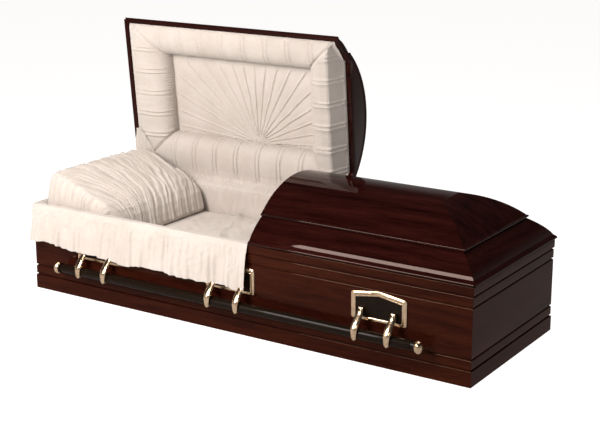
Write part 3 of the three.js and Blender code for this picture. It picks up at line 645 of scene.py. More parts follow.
def finish_named(name):
    """The material of that name, made the first time that it is asked for."""
    finish = bpy.context.scene.casket_finish
    lid_tones = (finish.wood_dark, finish.wood_red)
    # The body's copy of the mahogany is painted light: its dark streaks are 2.6 times brighter and its
    # light streaks browner than on the lids. The plain bottom board takes the same brown.
    body_tones_lit = ([c * 2.6 for c in finish.wood_dark], finish.wood_brown_lit)
    plain_tones = (finish.wood_dark, finish.wood_brown_lit)
    warm_shine = (1.0, 0.64, 0.42, 1)
    satin = [c * 0.85 for c in finish.brass]
    makers = {
        "wood": lambda: wood_material("polished mahogany", lid_tones, POLISHED, True),
        "wood_body": lambda: wood_material("polished body mahogany", body_tones_lit, POLISHED, True,
                                           1.2, warm_shine),
        "wood_plain": lambda: wood_material("plain mahogany", plain_tones, (0.4, 0.55), False),
        "crepe": lambda: cloth_material("ivory crepe", finish, 170.0, 0.0007),
        "throw": lambda: cloth_material("ivory throw cloth", finish, 240.0, 0.0005),
        "brass": lambda: brass_material("polished brass", finish.brass, (0.14, 0.24)),
        "brass_satin": lambda: brass_material("satin brass", satin, (0.28, 0.42)),
        "lacquer": lambda: lacquer_material(finish),
    }
    if name not in MATERIALS:
        MATERIALS[name] = makers[name]()
    return MATERIALS[name]


# Wooden boards

def base_outline():
    """The base board, with a rounded top edge."""
    inner = BASE_THICKNESS
    return rounded([(0, 0, 1.5), (inner, 0, 0), (inner, BASE_HEIGHT, 0), (0, BASE_HEIGHT, 4)])


def side_outline():
    """Up the outer face: each band starts above a groove and ends in a rounded edge."""
    corners = [(WALL, BASE_HEIGHT + GAP, 0), (WALL, RIM, 1.5)]
    bottoms = [BASE_HEIGHT] + BAND_TOPS[:-1]
    for top, below in reversed(list(zip(BAND_TOPS, bottoms))):
        face = 0 if top == RIM else PANEL_SETBACK
        if top != RIM:
            corners.append((GROOVE_DEPTH, top, 0))
        corners.append((face, top, BAND_ROUNDING))
        corners.append((face, below + GROOVE_HEIGHT, 1.5))
        corners.append((GROOVE_DEPTH, below + GROOVE_HEIGHT, 1))
    corners.append((GROOVE_DEPTH, BASE_HEIGHT + GAP, 0))
    return rounded(corners)


def rail_outline():
    """A lid's lower tier: a lip, a small cove, then a long convex sweep up to the seat of the crown."""
    lip_top, cove_top, sweep_top = (-6, 394.5), (8, 404), (89, RAIL_TOP)
    lip = rounded([(*lip_top, 0), (-LID_LIP, 391.5, 2.5), (-LID_LIP, LID_BOTTOM, 1.5),
                   (14, LID_BOTTOM, 1.5), (15, 396, 0)])
    underside = [(16, 398), (33.1, 404.4), (59.6, 430.1), (99.9, 459.2), (RAIL_SEAT, 464)]
    inner = [Vector(point) for point in underside]
    seat = rounded([(RAIL_SEAT, SEAT_TOP, 0), (92, SEAT_TOP, 2), (*sweep_top, 0)])
    sweep = curve(sweep_top, (28.4, 436.5), cove_top, 26)
    cove = curve(cove_top, (3.5, 396.8), lip_top, 5)[:-1]
    return lip + inner + seat + sweep + cove


def crown_arc(offset, lowest, steps):
    """The crown's arc from its edge up to the ridge, moved inwards by an offset."""
    span = HALF_WIDTH - CROWN_ARC_START
    sag = CROWN_RIDGE - CROWN_EDGE
    radius = (span * span + sag * sag) / (2 * sag)
    centre = CROWN_RIDGE - radius
    arc = radius - offset
    start = math.asin((lowest - centre) / arc)
    angles = [mix(start, math.pi / 2, i / steps) for i in range(steps + 1)]
    return [Vector((HALF_WIDTH - arc * math.cos(a), centre + arc * math.sin(a))) for a in angles]


def crown_outer():
    """The crown's outer face: a rounded lip on the rail's seat, then the arc."""
    lip = rounded([(CROWN_ARC_START - 0.5, CROWN_EDGE, 0), (CROWN_SETBACK, CROWN_EDGE - 1, 4),
                   (CROWN_SETBACK, CROWN_BOTTOM, 1.2), (CROWN_SETBACK + 3, CROWN_BOTTOM, 0)])
    return [*reversed(lip), *crown_arc(0, CROWN_EDGE, 30)]


def crown_inner(clearance):
    """The crown's inner face, with room to spare for what fits inside it."""
    arc = crown_arc(CROWN_THICKNESS + clearance, CROWN_BOTTOM, 24)
    return [Vector((arc[0].x, CROWN_BOTTOM - 2)), *arc]


def arched(half):
    """A whole arch from its front half, centred on the casket's middle."""
    front = [Vector((p.x - HALF_WIDTH, p.y)) for p in half]
    return front + [Vector((-p.x, p.y)) for p in reversed(front[:-1])]


def hipped(name, half, end_x, cut_x):
    """A half profile swept along the casket and across its end, which meet in mitred hips."""
    across = prism(name, arched(half), min(end_x, cut_x), max(end_x, cut_x))
    sign = math.copysign(1, end_x)
    # Drawn with depth as the distance from the end, then turned to run across.
    length = abs(end_x - cut_x)
    over_crown = 700
    along = [*half, *map(Vector, ((HALF_WIDTH, over_crown), (length, over_crown), (length, half[0].y)))]
    ends = prism("ends", along, -HALF_WIDTH - 5, HALF_WIDTH + 5)
    turn = math.pi / 2 if sign > 0 else -math.pi / 2
    settle(ends, Matrix.Translation((end_x * MM, 0, 0)) @ Matrix.Rotation(turn, 4, "Z"))
    cut_with(across, ends, "INTERSECT")
    return across


def crown(name, end_x, cut_x, shift):
    """A lid's hollow arched top, which curves down at the casket's end."""
    piece = hipped(name, crown_outer(), end_x, cut_x)
    hollow = hipped("hollow", crown_inner(0), end_x, cut_x - math.copysign(5, end_x))
    cut_with(piece, hollow, "DIFFERENCE")
    edit(piece)
    bpy.ops.mesh.remove_doubles(threshold=0.00001)
    done(piece, 14)
    mark_grain(piece, shift)
    return piece


def header_outline():
    """The board that closes a lid at the split, under its crown."""
    arc = crown_inner(GAP)[2:]
    shoulder = RAIL_SEAT + GAP
    return arched([Vector((shoulder, 475)), Vector((shoulder, CROWN_BOTTOM + GAP)), *arc])


def round_edges(piece, width):
    """Takes the sharpness off a board's square edges."""
    pick(piece)
    modifier = piece.modifiers.new("edges", "BEVEL")
    modifier.width = width * MM
    modifier.segments = 2
    modifier.limit_method = "ANGLE"
    modifier.angle_limit = math.radians(50)
    modifier.use_clamp_overlap = True
    bpy.ops.object.modifier_apply(modifier=modifier.name)


def build_body_boards():
    """The base and side boards. The bottom board is the solid itself, in plain wood."""
    wood = finish_named("wood_body")
    for i, side in enumerate(SIDES):
        half = SIDES[side][2]
        for kind, outline in (("base_board", base_outline()), ("side_board", side_outline())):
            piece = board(f"wood_{kind}_{side}", outline, -half, half, (True, True), side, 3.1 * i)
            give(piece, wood, "mahogany", "body", f"{kind}_{side}")
    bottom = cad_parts["bottom_board"]
    bottom.data.materials.clear()
    bottom.data.materials.append(finish_named("wood_plain"))


# How far each board's grain is moved, so that no two boards look alike.
GRAIN_SHIFTS = {"front": 5.3, "back": 8.9, "end": 12.7, "crown": 15.1, "header": 19.7}


def build_lid(prefix, body, end_side, end_x, cut_x, opened):
    """One lid between its end of the casket and its cut at the split."""
    wood = finish_named("wood")
    near, far = min(end_x, cut_x), max(end_x, cut_x)
    at_foot = end_side == "foot"
    rails = [
        ("front", near, far, (not at_foot, at_foot), "front"),
        ("back", -far, -near, (at_foot, not at_foot), "back"),
        ("end", -HALF_WIDTH, HALF_WIDTH, (True, True), end_side),
    ]
    pieces = {}
    for which, start, end, mitred, side in rails:
        pieces[f"rail_{which}"] = board(f"wood_{prefix}_rail_{which}", rail_outline(), start, end,
                                        mitred, side, GRAIN_SHIFTS[which])
    pieces["crown"] = crown(f"wood_{prefix}_crown", end_x, cut_x, GRAIN_SHIFTS["crown"])
    inner = cut_x + math.copysign(HEADER_THICKNESS, end_x)
    header = prism(f"wood_{prefix}_header", header_outline(), min(cut_x, inner), max(cut_x, inner))
    round_edges(header, 0.8)
    pick(header)
    bpy.ops.object.shade_smooth_by_angle(angle=math.radians(BOARD_ANGLE))
    mark_grain(header, GRAIN_SHIFTS["header"])
    pieces["header"] = header
    for node, piece in pieces.items():
        if opened:
            settle(piece, open_matrix())
        give(piece, wood, "mahogany", body, f"{prefix}_{node}")


def build_lids():
    """The head lid, which stands open, and the foot lid, which is closed."""
    build_lid("head_lid", "head_lid", "head", -HALF_LENGTH, HEAD_CUT, True)
    build_lid("foot_lid", "foot_lid", "foot", HALF_LENGTH, FOOT_CUT, False)


# Handles. A row is drawn with its panel's face at Y 0 and -Y pointing away from the casket.

def row_matrix(side, x):
    """From a handle's own space to its place along one side."""
    turn = 0 if side == "front" else math.pi
    y = -ROW_Y if side == "front" else ROW_Y
    return Matrix.Translation((x * MM, y * MM, 0)) @ Matrix.Rotation(turn, 4, "Z")


def plate_ring(inset, out, reed_pitch=0, reed=0):
    """The plate's outline, drawn in by an inset, so far out from the panel. Reeds run over its top."""
    half = PLATE_HALF_WIDTH - inset
    bottom = PLATE_BOTTOM + inset * 0.6
    top = PLATE_SIDE_TOP - inset
    radius = max(1.6, 8 - 0.32 * inset)
    corners = [(-half, bottom), (half, bottom), (half, top), (0, top + PLATE_PEAK), (-half, top)]
    points = rounded([(x, z, radius) for x, z in corners])
    if not reed_pitch:
        return [Vector((x, -out, z)) * MM for x, z in points]
    ring = []
    for i, (x, z) in enumerate(points):
        ring.append(Vector((x, -out, z)) * MM)
        x1, z1 = points[(i + 1) % len(points)]
        if z > top - 2 and z1 > top - 2 and abs(x1 - x) > 20:
            count = 2 * int(PLATE_HALF_WIDTH / reed_pitch)
            for k in range(1, count):
                ridge = reed * (0.5 if k % 2 else -0.5)
                ring.append(Vector((mix(x, x1, k / count), -out - ridge, mix(z, z1, k / count))) * MM)
    return ring


# The plate's border from its edge inwards: how far in and how far out from the panel.
BORDER_STEPS = [(0, 0.2), (0, 3.4), (0.7, 4.9), (2.0, 5.9), (3.4, 6.1), (4.2, 5.3), (5.2, 5.3),
                (6.0, 6.0), (10.0, 6.5), (14.0, 6.0), (14.8, 5.2), (16.0, 5.2), (16.8, 6.0),
                (18.4, 6.1), (19.6, 5.6), (20.0, 3.1), (22.0, 3.0)]
# How high the reeds are on the steps that have them, by how far in the step is.
REEDS = {10.0: 1.6, 14.0: 1.2, 6.0: 0.9}
FIELD_STEPS = [(20.3, 2.2), (20.3, 3.3), (22.6, 3.4), (23.0, 4.2), (24.4, 4.2), (24.8, 3.4),
               (27.0, 3.3), (30.0, 3.35)]
EAR_OFFSET = 6.8
EAR_HALF_WIDTH = 2
EAR_HALF_HEIGHT = 6.5


def plate_piece(name, sizes):
    """A cast border: a rolled outer edge, two fine lines and a reeded band round a recess."""
    pitch = sizes.reed_pitch / MM
    rings = [plate_ring(inset, out, pitch, REEDS.get(inset, 0)) for inset, out in BORDER_STEPS]
    plate = lofted(name, rings, 32)
    low, high, tip = PIVOT_HEIGHT - EAR_HALF_HEIGHT, PIVOT_HEIGHT + EAR_HALF_HEIGHT, -PIVOT_OUT - 5.5
    side_view = rounded([(0, low, 0), (0, high, 0), (tip, high - 1, 5), (tip, low + 1, 5)])
    ears = []
    for x in (-ARM_OFFSET, ARM_OFFSET):
        for shift in (-EAR_OFFSET, EAR_OFFSET):
            ear = prism("ear", side_view, x + shift - EAR_HALF_WIDTH, x + shift + EAR_HALF_WIDTH)
            settle(ear, Matrix.Translation((0, -2.8 * MM, 0)) @ Matrix.Scale(0.8, 4, (0, 1, 0)))
            round_edges(ear, 0.5)
            ears.append(ear)
    pick(plate)
    for ear in ears:
        ear.select_set(True)
    bpy.ops.object.join()
    bpy.ops.object.shade_smooth_by_angle(angle=math.radians(32))
    return plate


def inset_piece(name):
    """The lacquered field inside the border, with a fine raised line round it."""
    return lofted(name, [plate_ring(inset, out) for inset, out in FIELD_STEPS], 32)


# An arm's middle line: how far out it is, and how far down from its pivot to the bar's axis.
ARM_BOW = [(0.02, 0), (0.22, 0.21), (0.8, 0.58), (1, 0.85), (0.98, 1.236)]


def leaf_point(t):
    """The middle line of an arm: out from the knuckle, down over the bar's front and past it."""
    spans = len(ARM_BOW) - 1
    i = min(int(t * spans), spans - 1)
    s = t * spans - i
    near = [ARM_BOW[min(max(k, 0), spans)] for k in range(i - 1, i + 3)]
    out, down = (0.5 * (2 * b + (c - a) * s + (2 * a - 5 * b + 4 * c - d) * s ** 2
                        + (3 * b - a - 3 * c + d) * s ** 3) for a, b, c, d in zip(*near))
    outermost = -BAR_OUT - BAR_RADIUS - 4.5
    return Vector((0, mix(-PIVOT_OUT, outermost, out), mix(PIVOT_HEIGHT, BAR_HEIGHT, down)))


def arm_piece(name):
    """A domed leaf with a collar round the bar, a knuckle and a pin."""
    rings = []
    steps = 26
    for k in range(steps + 1):
        t = mix(0.02, 1, k / steps)
        point = leaf_point(t)
        along = (leaf_point(min(1, t + 0.02)) - leaf_point(max(0, t - 0.02))).normalized()
        outward = Vector((0, along.z, -along.y))
        spread = max(0, (t - 0.05) / 0.95)
        fullness = math.sin(math.pi * (0.16 + 0.76 * spread) ** 0.9) ** 0.75 * smooth(t / 0.22)
        half = mix(4.3, 15.5, fullness)
        dome = mix(2.2, 6.5, fullness)
        close = 1 - 0.55 * smooth((t - 0.93) / 0.07)
        ring = []
        for i in range(28):
            a = 2 * math.pi * i / 28
            lift = (dome if math.sin(a) > 0 else 2.6) * math.sin(a) * close
            ring.append((point + Vector((half * close * math.cos(a), 0, 0)) + outward * lift) * MM)
        rings.append(ring)
    arm = lofted(name, rings, 40)
    pivot = (0, -PIVOT_OUT, PIVOT_HEIGHT)
    knuckle = turned("knuckle", [(-4.5, 4.6), (-4, 5.4), (4, 5.4), (4.5, 4.6)], pivot, 24)
    pin = turned("pin", [(-8.8, 1.8), (-8.4, 2.4), (8.4, 2.4), (8.8, 1.8)], pivot, 16)
    section = rounded([(-7, 19.9, 0.5), (7, 19.9, 0.5), (7, 24, 1.6), (-7, 24, 1.6)], 3)
    collar = [Vector((x, -BAR_OUT, BAR_HEIGHT + radius)) * MM for x, radius in section]
    eye = ring_piece("eye", collar, "NOTHING")
    edit(eye)
    bpy.ops.mesh.spin(steps=40, angle=2 * math.pi, center=(0, -BAR_OUT * MM, BAR_HEIGHT * MM),
                      axis=(1, 0, 0))
    bpy.ops.mesh.select_all(action="SELECT")
    bpy.ops.mesh.remove_doubles(threshold=0.00002)
    done(eye, 35)
    pick(arm)
    for part in (knuckle, pin, eye):
        part.select_set(True)
    bpy.ops.object.join()
    return arm


def bar_piece(name):
    """The round bar, with a groove near either end."""
    half = BAR_HALF_LENGTH
    neck = 16.5
    end = [(half, 17.5), (half - 1, BAR_RADIUS), (half - 7.5, BAR_RADIUS), (half - 8.5, neck),
           (half - 19.5, neck), (half - 21, BAR_RADIUS - 0.4), (half - 22.5, BAR_RADIUS)]
    profile = [(-along, radius) for along, radius in end] + end[::-1]
    return turned(name, profile, (0, -BAR_OUT, BAR_HEIGHT), 48, 30)


def cap_piece(name):
    """A domed cap on a beaded rim."""
    profile = [(0.3, 21), (0.6, 23.5), (2, 24.6), (4, 25), (5.2, 24.2), (6, 24.6), (7.5, 26.4), (10, 27)]
    for k in range(1, 12):
        a = math.pi / 2 * k / 12
        profile.append((10 + 20 * math.sin(a) ** 1.15, 27 * math.cos(a) ** 0.85))
    profile.append((30, 0.6))
    return turned(name, profile, (0, -BAR_OUT, BAR_HEIGHT), 44, 40)


def copy_piece(piece, name, matrix):
    """A copy with its own mesh, put in place."""
    pick(piece)
    bpy.ops.object.duplicate(linked=False)
    made = name_piece(name)
    settle(made, matrix)
    return made


def build_handles():
    """Three handles a side, their bar and its caps, each copied from a pattern."""
    sizes = bpy.context.scene.casket_sizes
    plate, inset = plate_piece("plate pattern", sizes), inset_piece("inset pattern")
    arm, bar, cap = arm_piece("arm pattern"), bar_piece("bar pattern"), cap_piece("cap pattern")
    brass, lacquer = finish_named("brass"), finish_named("lacquer")
    for side in ("front", "back"):
        body = f"{side}_bar"
        for i, x in enumerate(HANDLE_CENTRES, 1):
            at = row_matrix(side, x)
            made = copy_piece(plate, f"brass_plate_{side}_{i}", at)
            give(made, brass, "brass", "body", f"handle_plate_{side}_{i}")
            give(copy_piece(inset, f"plate_field_{side}_{i}", at), lacquer, "bar_black", "body")
            for letter, offset in (("a", -ARM_OFFSET), ("b", ARM_OFFSET)):
                made = copy_piece(arm, f"brass_arm_{side}_{i}{letter}", row_matrix(side, x + offset))
                give(made, brass, "brass", body, f"handle_arm_{side}_{i}{letter}")
        middle = row_matrix(side, HANDLE_CENTRES[1])
        made = copy_piece(bar, f"carry_bar_{side}", middle)
        give(made, lacquer, "bar_black", body, f"handle_bar_{side}")
        for end, sign in (("head", -1), ("foot", 1)):
            at = Matrix.Translation(((HANDLE_CENTRES[1] + sign * BAR_HALF_LENGTH) * MM, 0, 0))
            outwards = (sign > 0) == (side == "front")
            mirror = Matrix.Identity(4) if outwards else Matrix.Diagonal((-1, 1, 1, 1))
            made = copy_piece(cap, f"brass_cap_{side}_{end}", at @ row_matrix(side, 0) @ mirror)
            edit(made)
            done(made)
            give(made, brass, "brass", body, f"bar_cap_{side}_{end}")
    for pattern in (plate, inset, arm, bar, cap):
        bpy.data.objects.remove(pattern)


def build_hinges():
    """The long hinges are the solids themselves, in satin brass."""
    for name in ("head_lid_hinge", "foot_lid_hinge"):
        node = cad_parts[name]
        node.data.materials.clear()
        node.data.materials.append(finish_named("brass_satin"))


# Lining of the head lid. Heights are those of the closed lid, so the cloth faces down.

# The wood's underside, from the lid's outer face inwards: how deep and how high.
RAIL_UNDERSIDE = [(15, 388), (17, 397), (34, 402.5), (60.5, 428), (101, 457), (113, 462), (114, 478),
                  (400, 478)]
HEADER_BOTTOM = 474.5

# The split roll from the header inwards: how far across and how high. A bevel runs to a sharp crest.
SPLIT_PROFILE = [(0, 470), (3, 463), (8, 450), (16, 428), (25, 403), (32, 383), (40, 377), (72, 373),
                 (104, 376), (130, 396), (143, 425), (147, 457)]

# The other rolls as smooth curves: how far across, as a share of the width, and how high.
ROLL_ACROSS = (0.0, 0.38, 0.98, 1.0)
ROLL_HEIGHTS = (391, 376, 370, 457)
TUCK_OFFSET = 9
TUCK_WIDTH = 9


def follow(profile, t):
    """The point that share of the way along a profile, by its number of steps."""
    place = t * (len(profile) - 1)
    i = min(int(place), len(profile) - 2)
    return [mix(a, b, place - i) for a, b in zip(profile[i], profile[i + 1])]


def under_rail(depth):
    """The height just inside the lid's wood at that depth."""
    for (d0, z0), (d1, z1) in zip(RAIL_UNDERSIDE, RAIL_UNDERSIDE[1:]):
        if depth <= d1:
            return mix(z0, z1, max(0, depth - d0) / (d1 - d0))
    return RAIL_UNDERSIDE[-1][1]


def bezier(points, t):
    """The value that share of the way along a smooth curve with those control values."""
    while len(points) > 1:
        points = [mix(a, b, t) for a, b in zip(points, points[1:])]
    return points[0]


def tuck_pairs(along, pitch, height, start):
    """Two narrow pleats side by side, repeated along a roll."""
    place = (along - start) / pitch
    offset = (place - round(place)) * pitch
    wander = 3 * ripple(round(place) * 5.3, 0.7)
    total = 0
    for centre in (-TUCK_OFFSET, TUCK_OFFSET):
        total += pleat(offset - centre - wander, 1, TUCK_WIDTH)
    return height * (total - 0.35)


def lid_roll(side, matrix, first, last, cut_first, cut_last, pitch, start, height):
    """One roll along its wooden edge from first to last, with a mitre running in at either end."""
    width = ROLL_WIDTHS[side]
    split = side == "split"
    edge = 0 if split else ROLL_EDGE

    def shape(u, v):
        v = v ** 1.35
        if split:
            across, hang = follow(SPLIT_PROFILE, v)
            across /= width
        else:
            across, hang = bezier(ROLL_ACROSS, v), bezier(ROLL_HEIGHTS, v)
        low = first + across * cut_first
        high = last - across * cut_last
        along = mix(low, high, u)
        near_end = min(along - low, high - along)
        fade = smooth(v / 0.1) * smooth((1 - v) / 0.05)
        fade *= smooth(near_end / 14 + 0.25)
        out = tuck_pairs(along, pitch, height, start) * fade
        out += 1.8 * ripple(along / 60, v * 2, 3) * fade + 1.0 * ripple(along / 17, v * 5, 7) * fade
        # The cloth is gathered along both edges.
        gather = 3.4 * math.sin(along / 1.9 + 2.4 * ripple(along / 23, 4)) * bump(0.93 - v, 0.12)
        gather += 1.1 * math.sin(along / 2.3 + 2.4 * ripple(along / 19, 9)) * bump(v - 0.05, 0.05)
        if split:
            # Soft diagonal folds on the bevel beside the header.
            slant = math.sin((along + 260 * v) / 17 + 2 * ripple(along / 70, 3))
            out += 2.2 * slant * bump(v - 0.24, 0.1)
        corner = 7 * bump(near_end, 9)
        bead = BEAD_OFFSET * bump(across * width - BEAD_OFFSET, 2.4)
        level = hang - out - gather * fade + corner - bead
        if split:
            level = min(level, under_rail(HALF_WIDTH - abs(along)) - 2)
        return (along, edge + width * across, level)

    def flatten(point):
        roof = under_rail(HALF_WIDTH - abs(point.x) if split else point.y)
        if split and point.y < 2:
            roof = min(roof, HEADER_BOTTOM)
        return (point.x, point.y, max(point.z + 1.5, roof))

    piece = soft_panel(f"lid_roll_{side}", int((last - first) / 2.8), 64, shape, flatten)
    settle(piece, matrix)
    settle(piece, open_matrix())
    give(piece, finish_named("crepe"), "lining_crepe", "head_lid", f"head_lid_roll_{side}")


def build_rolls():
    """The four rolls that frame the head lid's sunburst."""
    sizes = bpy.context.scene.casket_sizes
    pitch, height = sizes.pleat_pitch / MM, sizes.pleat_height / MM
    head, front, back, split = (ROLL_WIDTHS[side] for side in ("head", "front", "back", "split"))
    end = HALF_LENGTH - ROLL_EDGE - GAP
    across = HALF_WIDTH - ROLL_EDGE - GAP
    at_split = Matrix.Translation((SPLIT_EDGE * MM, 0, 0)) @ Matrix.Rotation(math.pi / 2, 4, "Z")
    # Where each roll starts and ends, how its two mitres run in, and how its tucks are spaced.
    layout = {
        "front": (side_matrix("front"), -end, SPLIT_EDGE - GAP, head, split, pitch, 60),
        "back": (side_matrix("back"), -SPLIT_EDGE + GAP, end, split, head, pitch, 20),
        "head": (side_matrix("head"), -across, across, back, front, pitch * 0.86, 30),
        "split": (at_split, -across, across, front, back, pitch * 0.86, 30),
    }
    for side, values in layout.items():
        lid_roll(side, *values, height)


def build_sunburst():
    """The head lid's panel, with pleats that fan out from the middle of its back edge."""
    sizes = bpy.context.scene.casket_sizes
    low_x = -HALF_LENGTH + ROLL_EDGE + ROLL_WIDTHS["head"] + GAP
    high_x = SPLIT_EDGE - ROLL_WIDTHS["split"] - GAP
    low_y = -HALF_WIDTH + ROLL_EDGE + ROLL_WIDTHS["front"] + GAP
    high_y = HALF_WIDTH - ROLL_EDGE - ROLL_WIDTHS["back"] - GAP
    centre = Vector((SUNBURST_X, high_y + 6))
    step = math.pi / sizes.rays
    ray_height = sizes.ray_height / MM

    def shape(u, v):
        x, y = mix(low_x, high_x, u), mix(low_y, high_y, v)
        away = Vector((x, y)) - centre
        reach = away.length
        angle = math.atan2(-away.y, away.x)
        place = angle / step - 0.5
        offset = place - round(place)
        aside = offset * step * reach
        wander = 2.5 * ripple(round(place) * 3.7, reach / 90)
        spare = min(x - low_x, high_x - x, y - low_y)
        fade = smooth((spare - 14) / 22) * smooth(reach / 60)
        ridge = pleat(aside - wander, 1, 7) - 0.3
        puff = 1.3 * (1 + math.cos(2 * math.pi * (offset + 0.5))) * smooth(reach / 200)
        gather = 2.2 * math.sin(x / 2.3 + 2 * ripple(x / 21, 5)) * bump(high_y - y, 16)
        out = (ray_height * ridge + puff) * fade + 2.5 * ripple(x / 70, y / 70, 2)
        rim = 7 * bump(min(x - low_x, high_x - x), 9) + 5 * bump(y - low_y, 8)
        return (x, y, SUNBURST_FACE + 4 - out + rim - gather)

    piece = soft_panel("lid_sunburst", 300, 160, shape, lambda p: (p.x, p.y, SUNBURST_BACK))
    settle(piece, open_matrix())
    give(piece, finish_named("crepe"), "lining_crepe", "head_lid", "head_lid_sunburst_panel")


def build_foot_lid_lining():
    """A plain quilted panel under the foot lid's crown."""
    inset, face, back = 80, 443, 451
    low_x, high_x = FOOT_CUT + HEADER_THICKNESS + 2, HALF_LENGTH - inset
    half = HALF_WIDTH - inset

    def shape(u, v):
        x, y = mix(low_x, high_x, u), mix(-half, half, v)
        edge = min(high_x - x, half - abs(y))
        quilt = 3 * math.cos(x / 26) * math.cos(y / 26) * smooth(edge / 30)
        return (x, y, face - quilt + 1.5 * ripple(x / 50, y / 50, 4) + 5 * bump(edge, 12))

    piece = soft_panel("foot_lid_cloth", 150, 90, shape, lambda p: (p.x, p.y, back))
    give(piece, finish_named("crepe"), "lining_crepe", "foot_lid", "foot_lid_lining")


# Lining, bedding and throw

def wall_lining(side, seed):
    """The gathered lining of one wall. It rolls back under the rim along its top edge."""
    half = SIDES[side][2]
    top = RIM - 2
    bend, straight = 20, 0.88
    ledge_top, ledge_depth, wall_depth = 63, 30.6, WALL + GAP

    def shape(u, v):
        height, back = mix(FLOOR + GAP, top - bend, v / straight), 0
        if v >= straight:
            a = (v - straight) / (1 - straight) * math.pi / 2
            height, back = top - bend + bend * math.sin(a), 12 * (1 - math.cos(a))
        free = smooth((height - MATTRESS_TOP - 2) / 14) * smooth((top - height) / 12)
        along = mix(-half + 45, half - 45, u)
        fold = 2.2 * math.sin(along / 6.5 + 3 * ripple(along / 60, height / 70, seed))
        fold += 2.5 * ripple(along / 30, height / 50, seed + 4)
        depth = LINING_FACE - 1 - back + (fold + 2) * free
        reach = half - depth - GAP
        return (mix(-reach, reach, u), depth, height)

    def flatten(point):
        x = math.copysign(half - 30.8, point.x) if abs(point.x) > half - 48 else point.x
        return (x, ledge_depth if point.z < ledge_top else wall_depth, point.z)

    piece = soft_panel(f"body_lining_{side}", int(half / 3.2), 36, shape, flatten)
    settle(piece, side_matrix(side))
    give(piece, finish_named("crepe"), "lining_crepe", "body", f"lining_{side}")


def build_body_lining():
    """One gathered lining for each wall."""
    for seed, side in enumerate(SIDES):
        wall_lining(side, seed)


# The two slack folds of the mattress's cloth. Each crosses (x, y) with a slant, sways by so much over
# so many millimetres, has a height and a width, and starts at a y over a length.
MATTRESS_FOLDS = [
    ((-190, -250), -0.45, (14, 70, 8), 17, 32, (-330, 60)),
    ((-330, -100), 0.3, (18, 60, 5), 15, 30, (-200, 120)),
]
MATTRESS_INSET = 43
MATTRESS_EDGE = 20
PILLOW_END = -620


def build_mattress():
    """The mattress, with slack folds that run from the pillow to the split."""
    reach, half = HALF_LENGTH - MATTRESS_INSET, HALF_WIDTH - MATTRESS_INSET

    def shape(u, v):
        a, b = 2 * u - 1, 2 * v - 1
        x, y = reach * math.copysign(abs(a) ** 0.93, a), half * math.copysign(abs(b) ** 0.9, b)
        edge = min(reach - abs(x), half - abs(y))
        free = smooth((x - PILLOW_END) / 60)
        wave = 5 * ripple(x / 120, y / 90, 1) + 3.4 * ripple(x / 35 + y / 60, y / 50, 6)
        for (at_x, at_y), slant, (sway, length, seed), height, width, (begin, rise) in MATTRESS_FOLDS:
            across = x - at_x - slant * (y - at_y) + sway * ripple(y / length, seed)
            wave += pleat(across, height, width) * smooth((y - begin) / rise)
        along = x + 265 - 0.22 * (y + 60)
        crest = 26 * bump(along, 58) * smooth((y + 300) / 160) - 6 * bump(along - 90, 60)
        drop = 1 - math.sqrt(max(0, 1 - max(0, 1 - edge / MATTRESS_EDGE) ** 2))
        height = MATTRESS_TOP - 3 + (wave + crest) * free
        height -= 18 * drop
        return (x, y, height)

    piece = soft_panel("bed", 420, 140, shape, lambda p: (p.x, p.y, FLOOR + GAP))
    give(piece, finish_named("crepe"), "lining_crepe", "body", "mattress")


# The pillow's section from its back foot up the wall, over the top and down to its front foot: how far
# from the head-end lining and how high over the mattress.
PILLOW_SECTION = [(14, 0), (2, 40), (0, 120), (2, 205), (10, 238), (30, 249), (70, 243), (130, 221),
                  (200, 193), (264, 168), (312, 143), (344, 116), (366, 85), (379, 51), (383, 20),
                  (380, 2), (376, -1)]
PILLOW_HALF_WIDTH = 315
# The share of the half width that is flat, before the sides turn down.
PILLOW_FLAT = 0.72
# Where the shirring fans out from, near the low front corner.
FAN_X = 452
FAN_Y = -215
FOLD_HEIGHT = 5.6


def build_pillow():
    """The pillow, sloping down from the head end, with its shirred cover."""
    low_x = -HALF_LENGTH + LINING_FACE + 3
    base = MATTRESS_TOP + GAP

    def shape(u, v):
        out, rise = follow(PILLOW_SECTION, u)
        b = 2 * v - 1
        side = max(0, (abs(b) - PILLOW_FLAT) / (1 - PILLOW_FLAT))
        turn = side * math.pi / 2
        share = 0.9 * min(abs(b), PILLOW_FLAT) / PILLOW_FLAT + 0.1 * math.sin(turn)
        y = math.copysign(PILLOW_HALF_WIDTH * share, b)
        rise *= math.cos(turn) ** 0.45
        out *= 1 - 0.11 * side ** 2
        away = Vector((FAN_X - out, y - FAN_Y))
        reach = away.length
        angle = math.atan2(away.y, away.x) + reach / 520
        crease = 1 - 2.4 * abs(ripple(angle * 11 + 0.8 * ripple(reach / 90, 3), reach / 420, 2))
        crease += 0.6 * (1 - 2.4 * abs(ripple(angle * 27, reach / 160, 5)))
        free = smooth((rise + 3) / 12) * smooth((u - 0.2) / 0.1) * smooth((1 - side) / 0.22)
        fold = FOLD_HEIGHT * crease * free
        seam = 3.5 * bump(u - 0.31, 0.014) * smooth((1 - side) / 0.2)
        forward = 0.35 + smooth((u - 0.8) / 0.12)
        sideways = math.copysign(math.sin(turn), b)
        return (low_x + out + forward * fold, y + sideways * fold, base + rise + fold + seam)

    piece = soft_panel("head_pillow", 300, 240, shape, lambda p: (p.x, p.y, base))
    give(piece, finish_named("crepe"), "lining_crepe", "body", "pillow")
    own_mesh(piece)


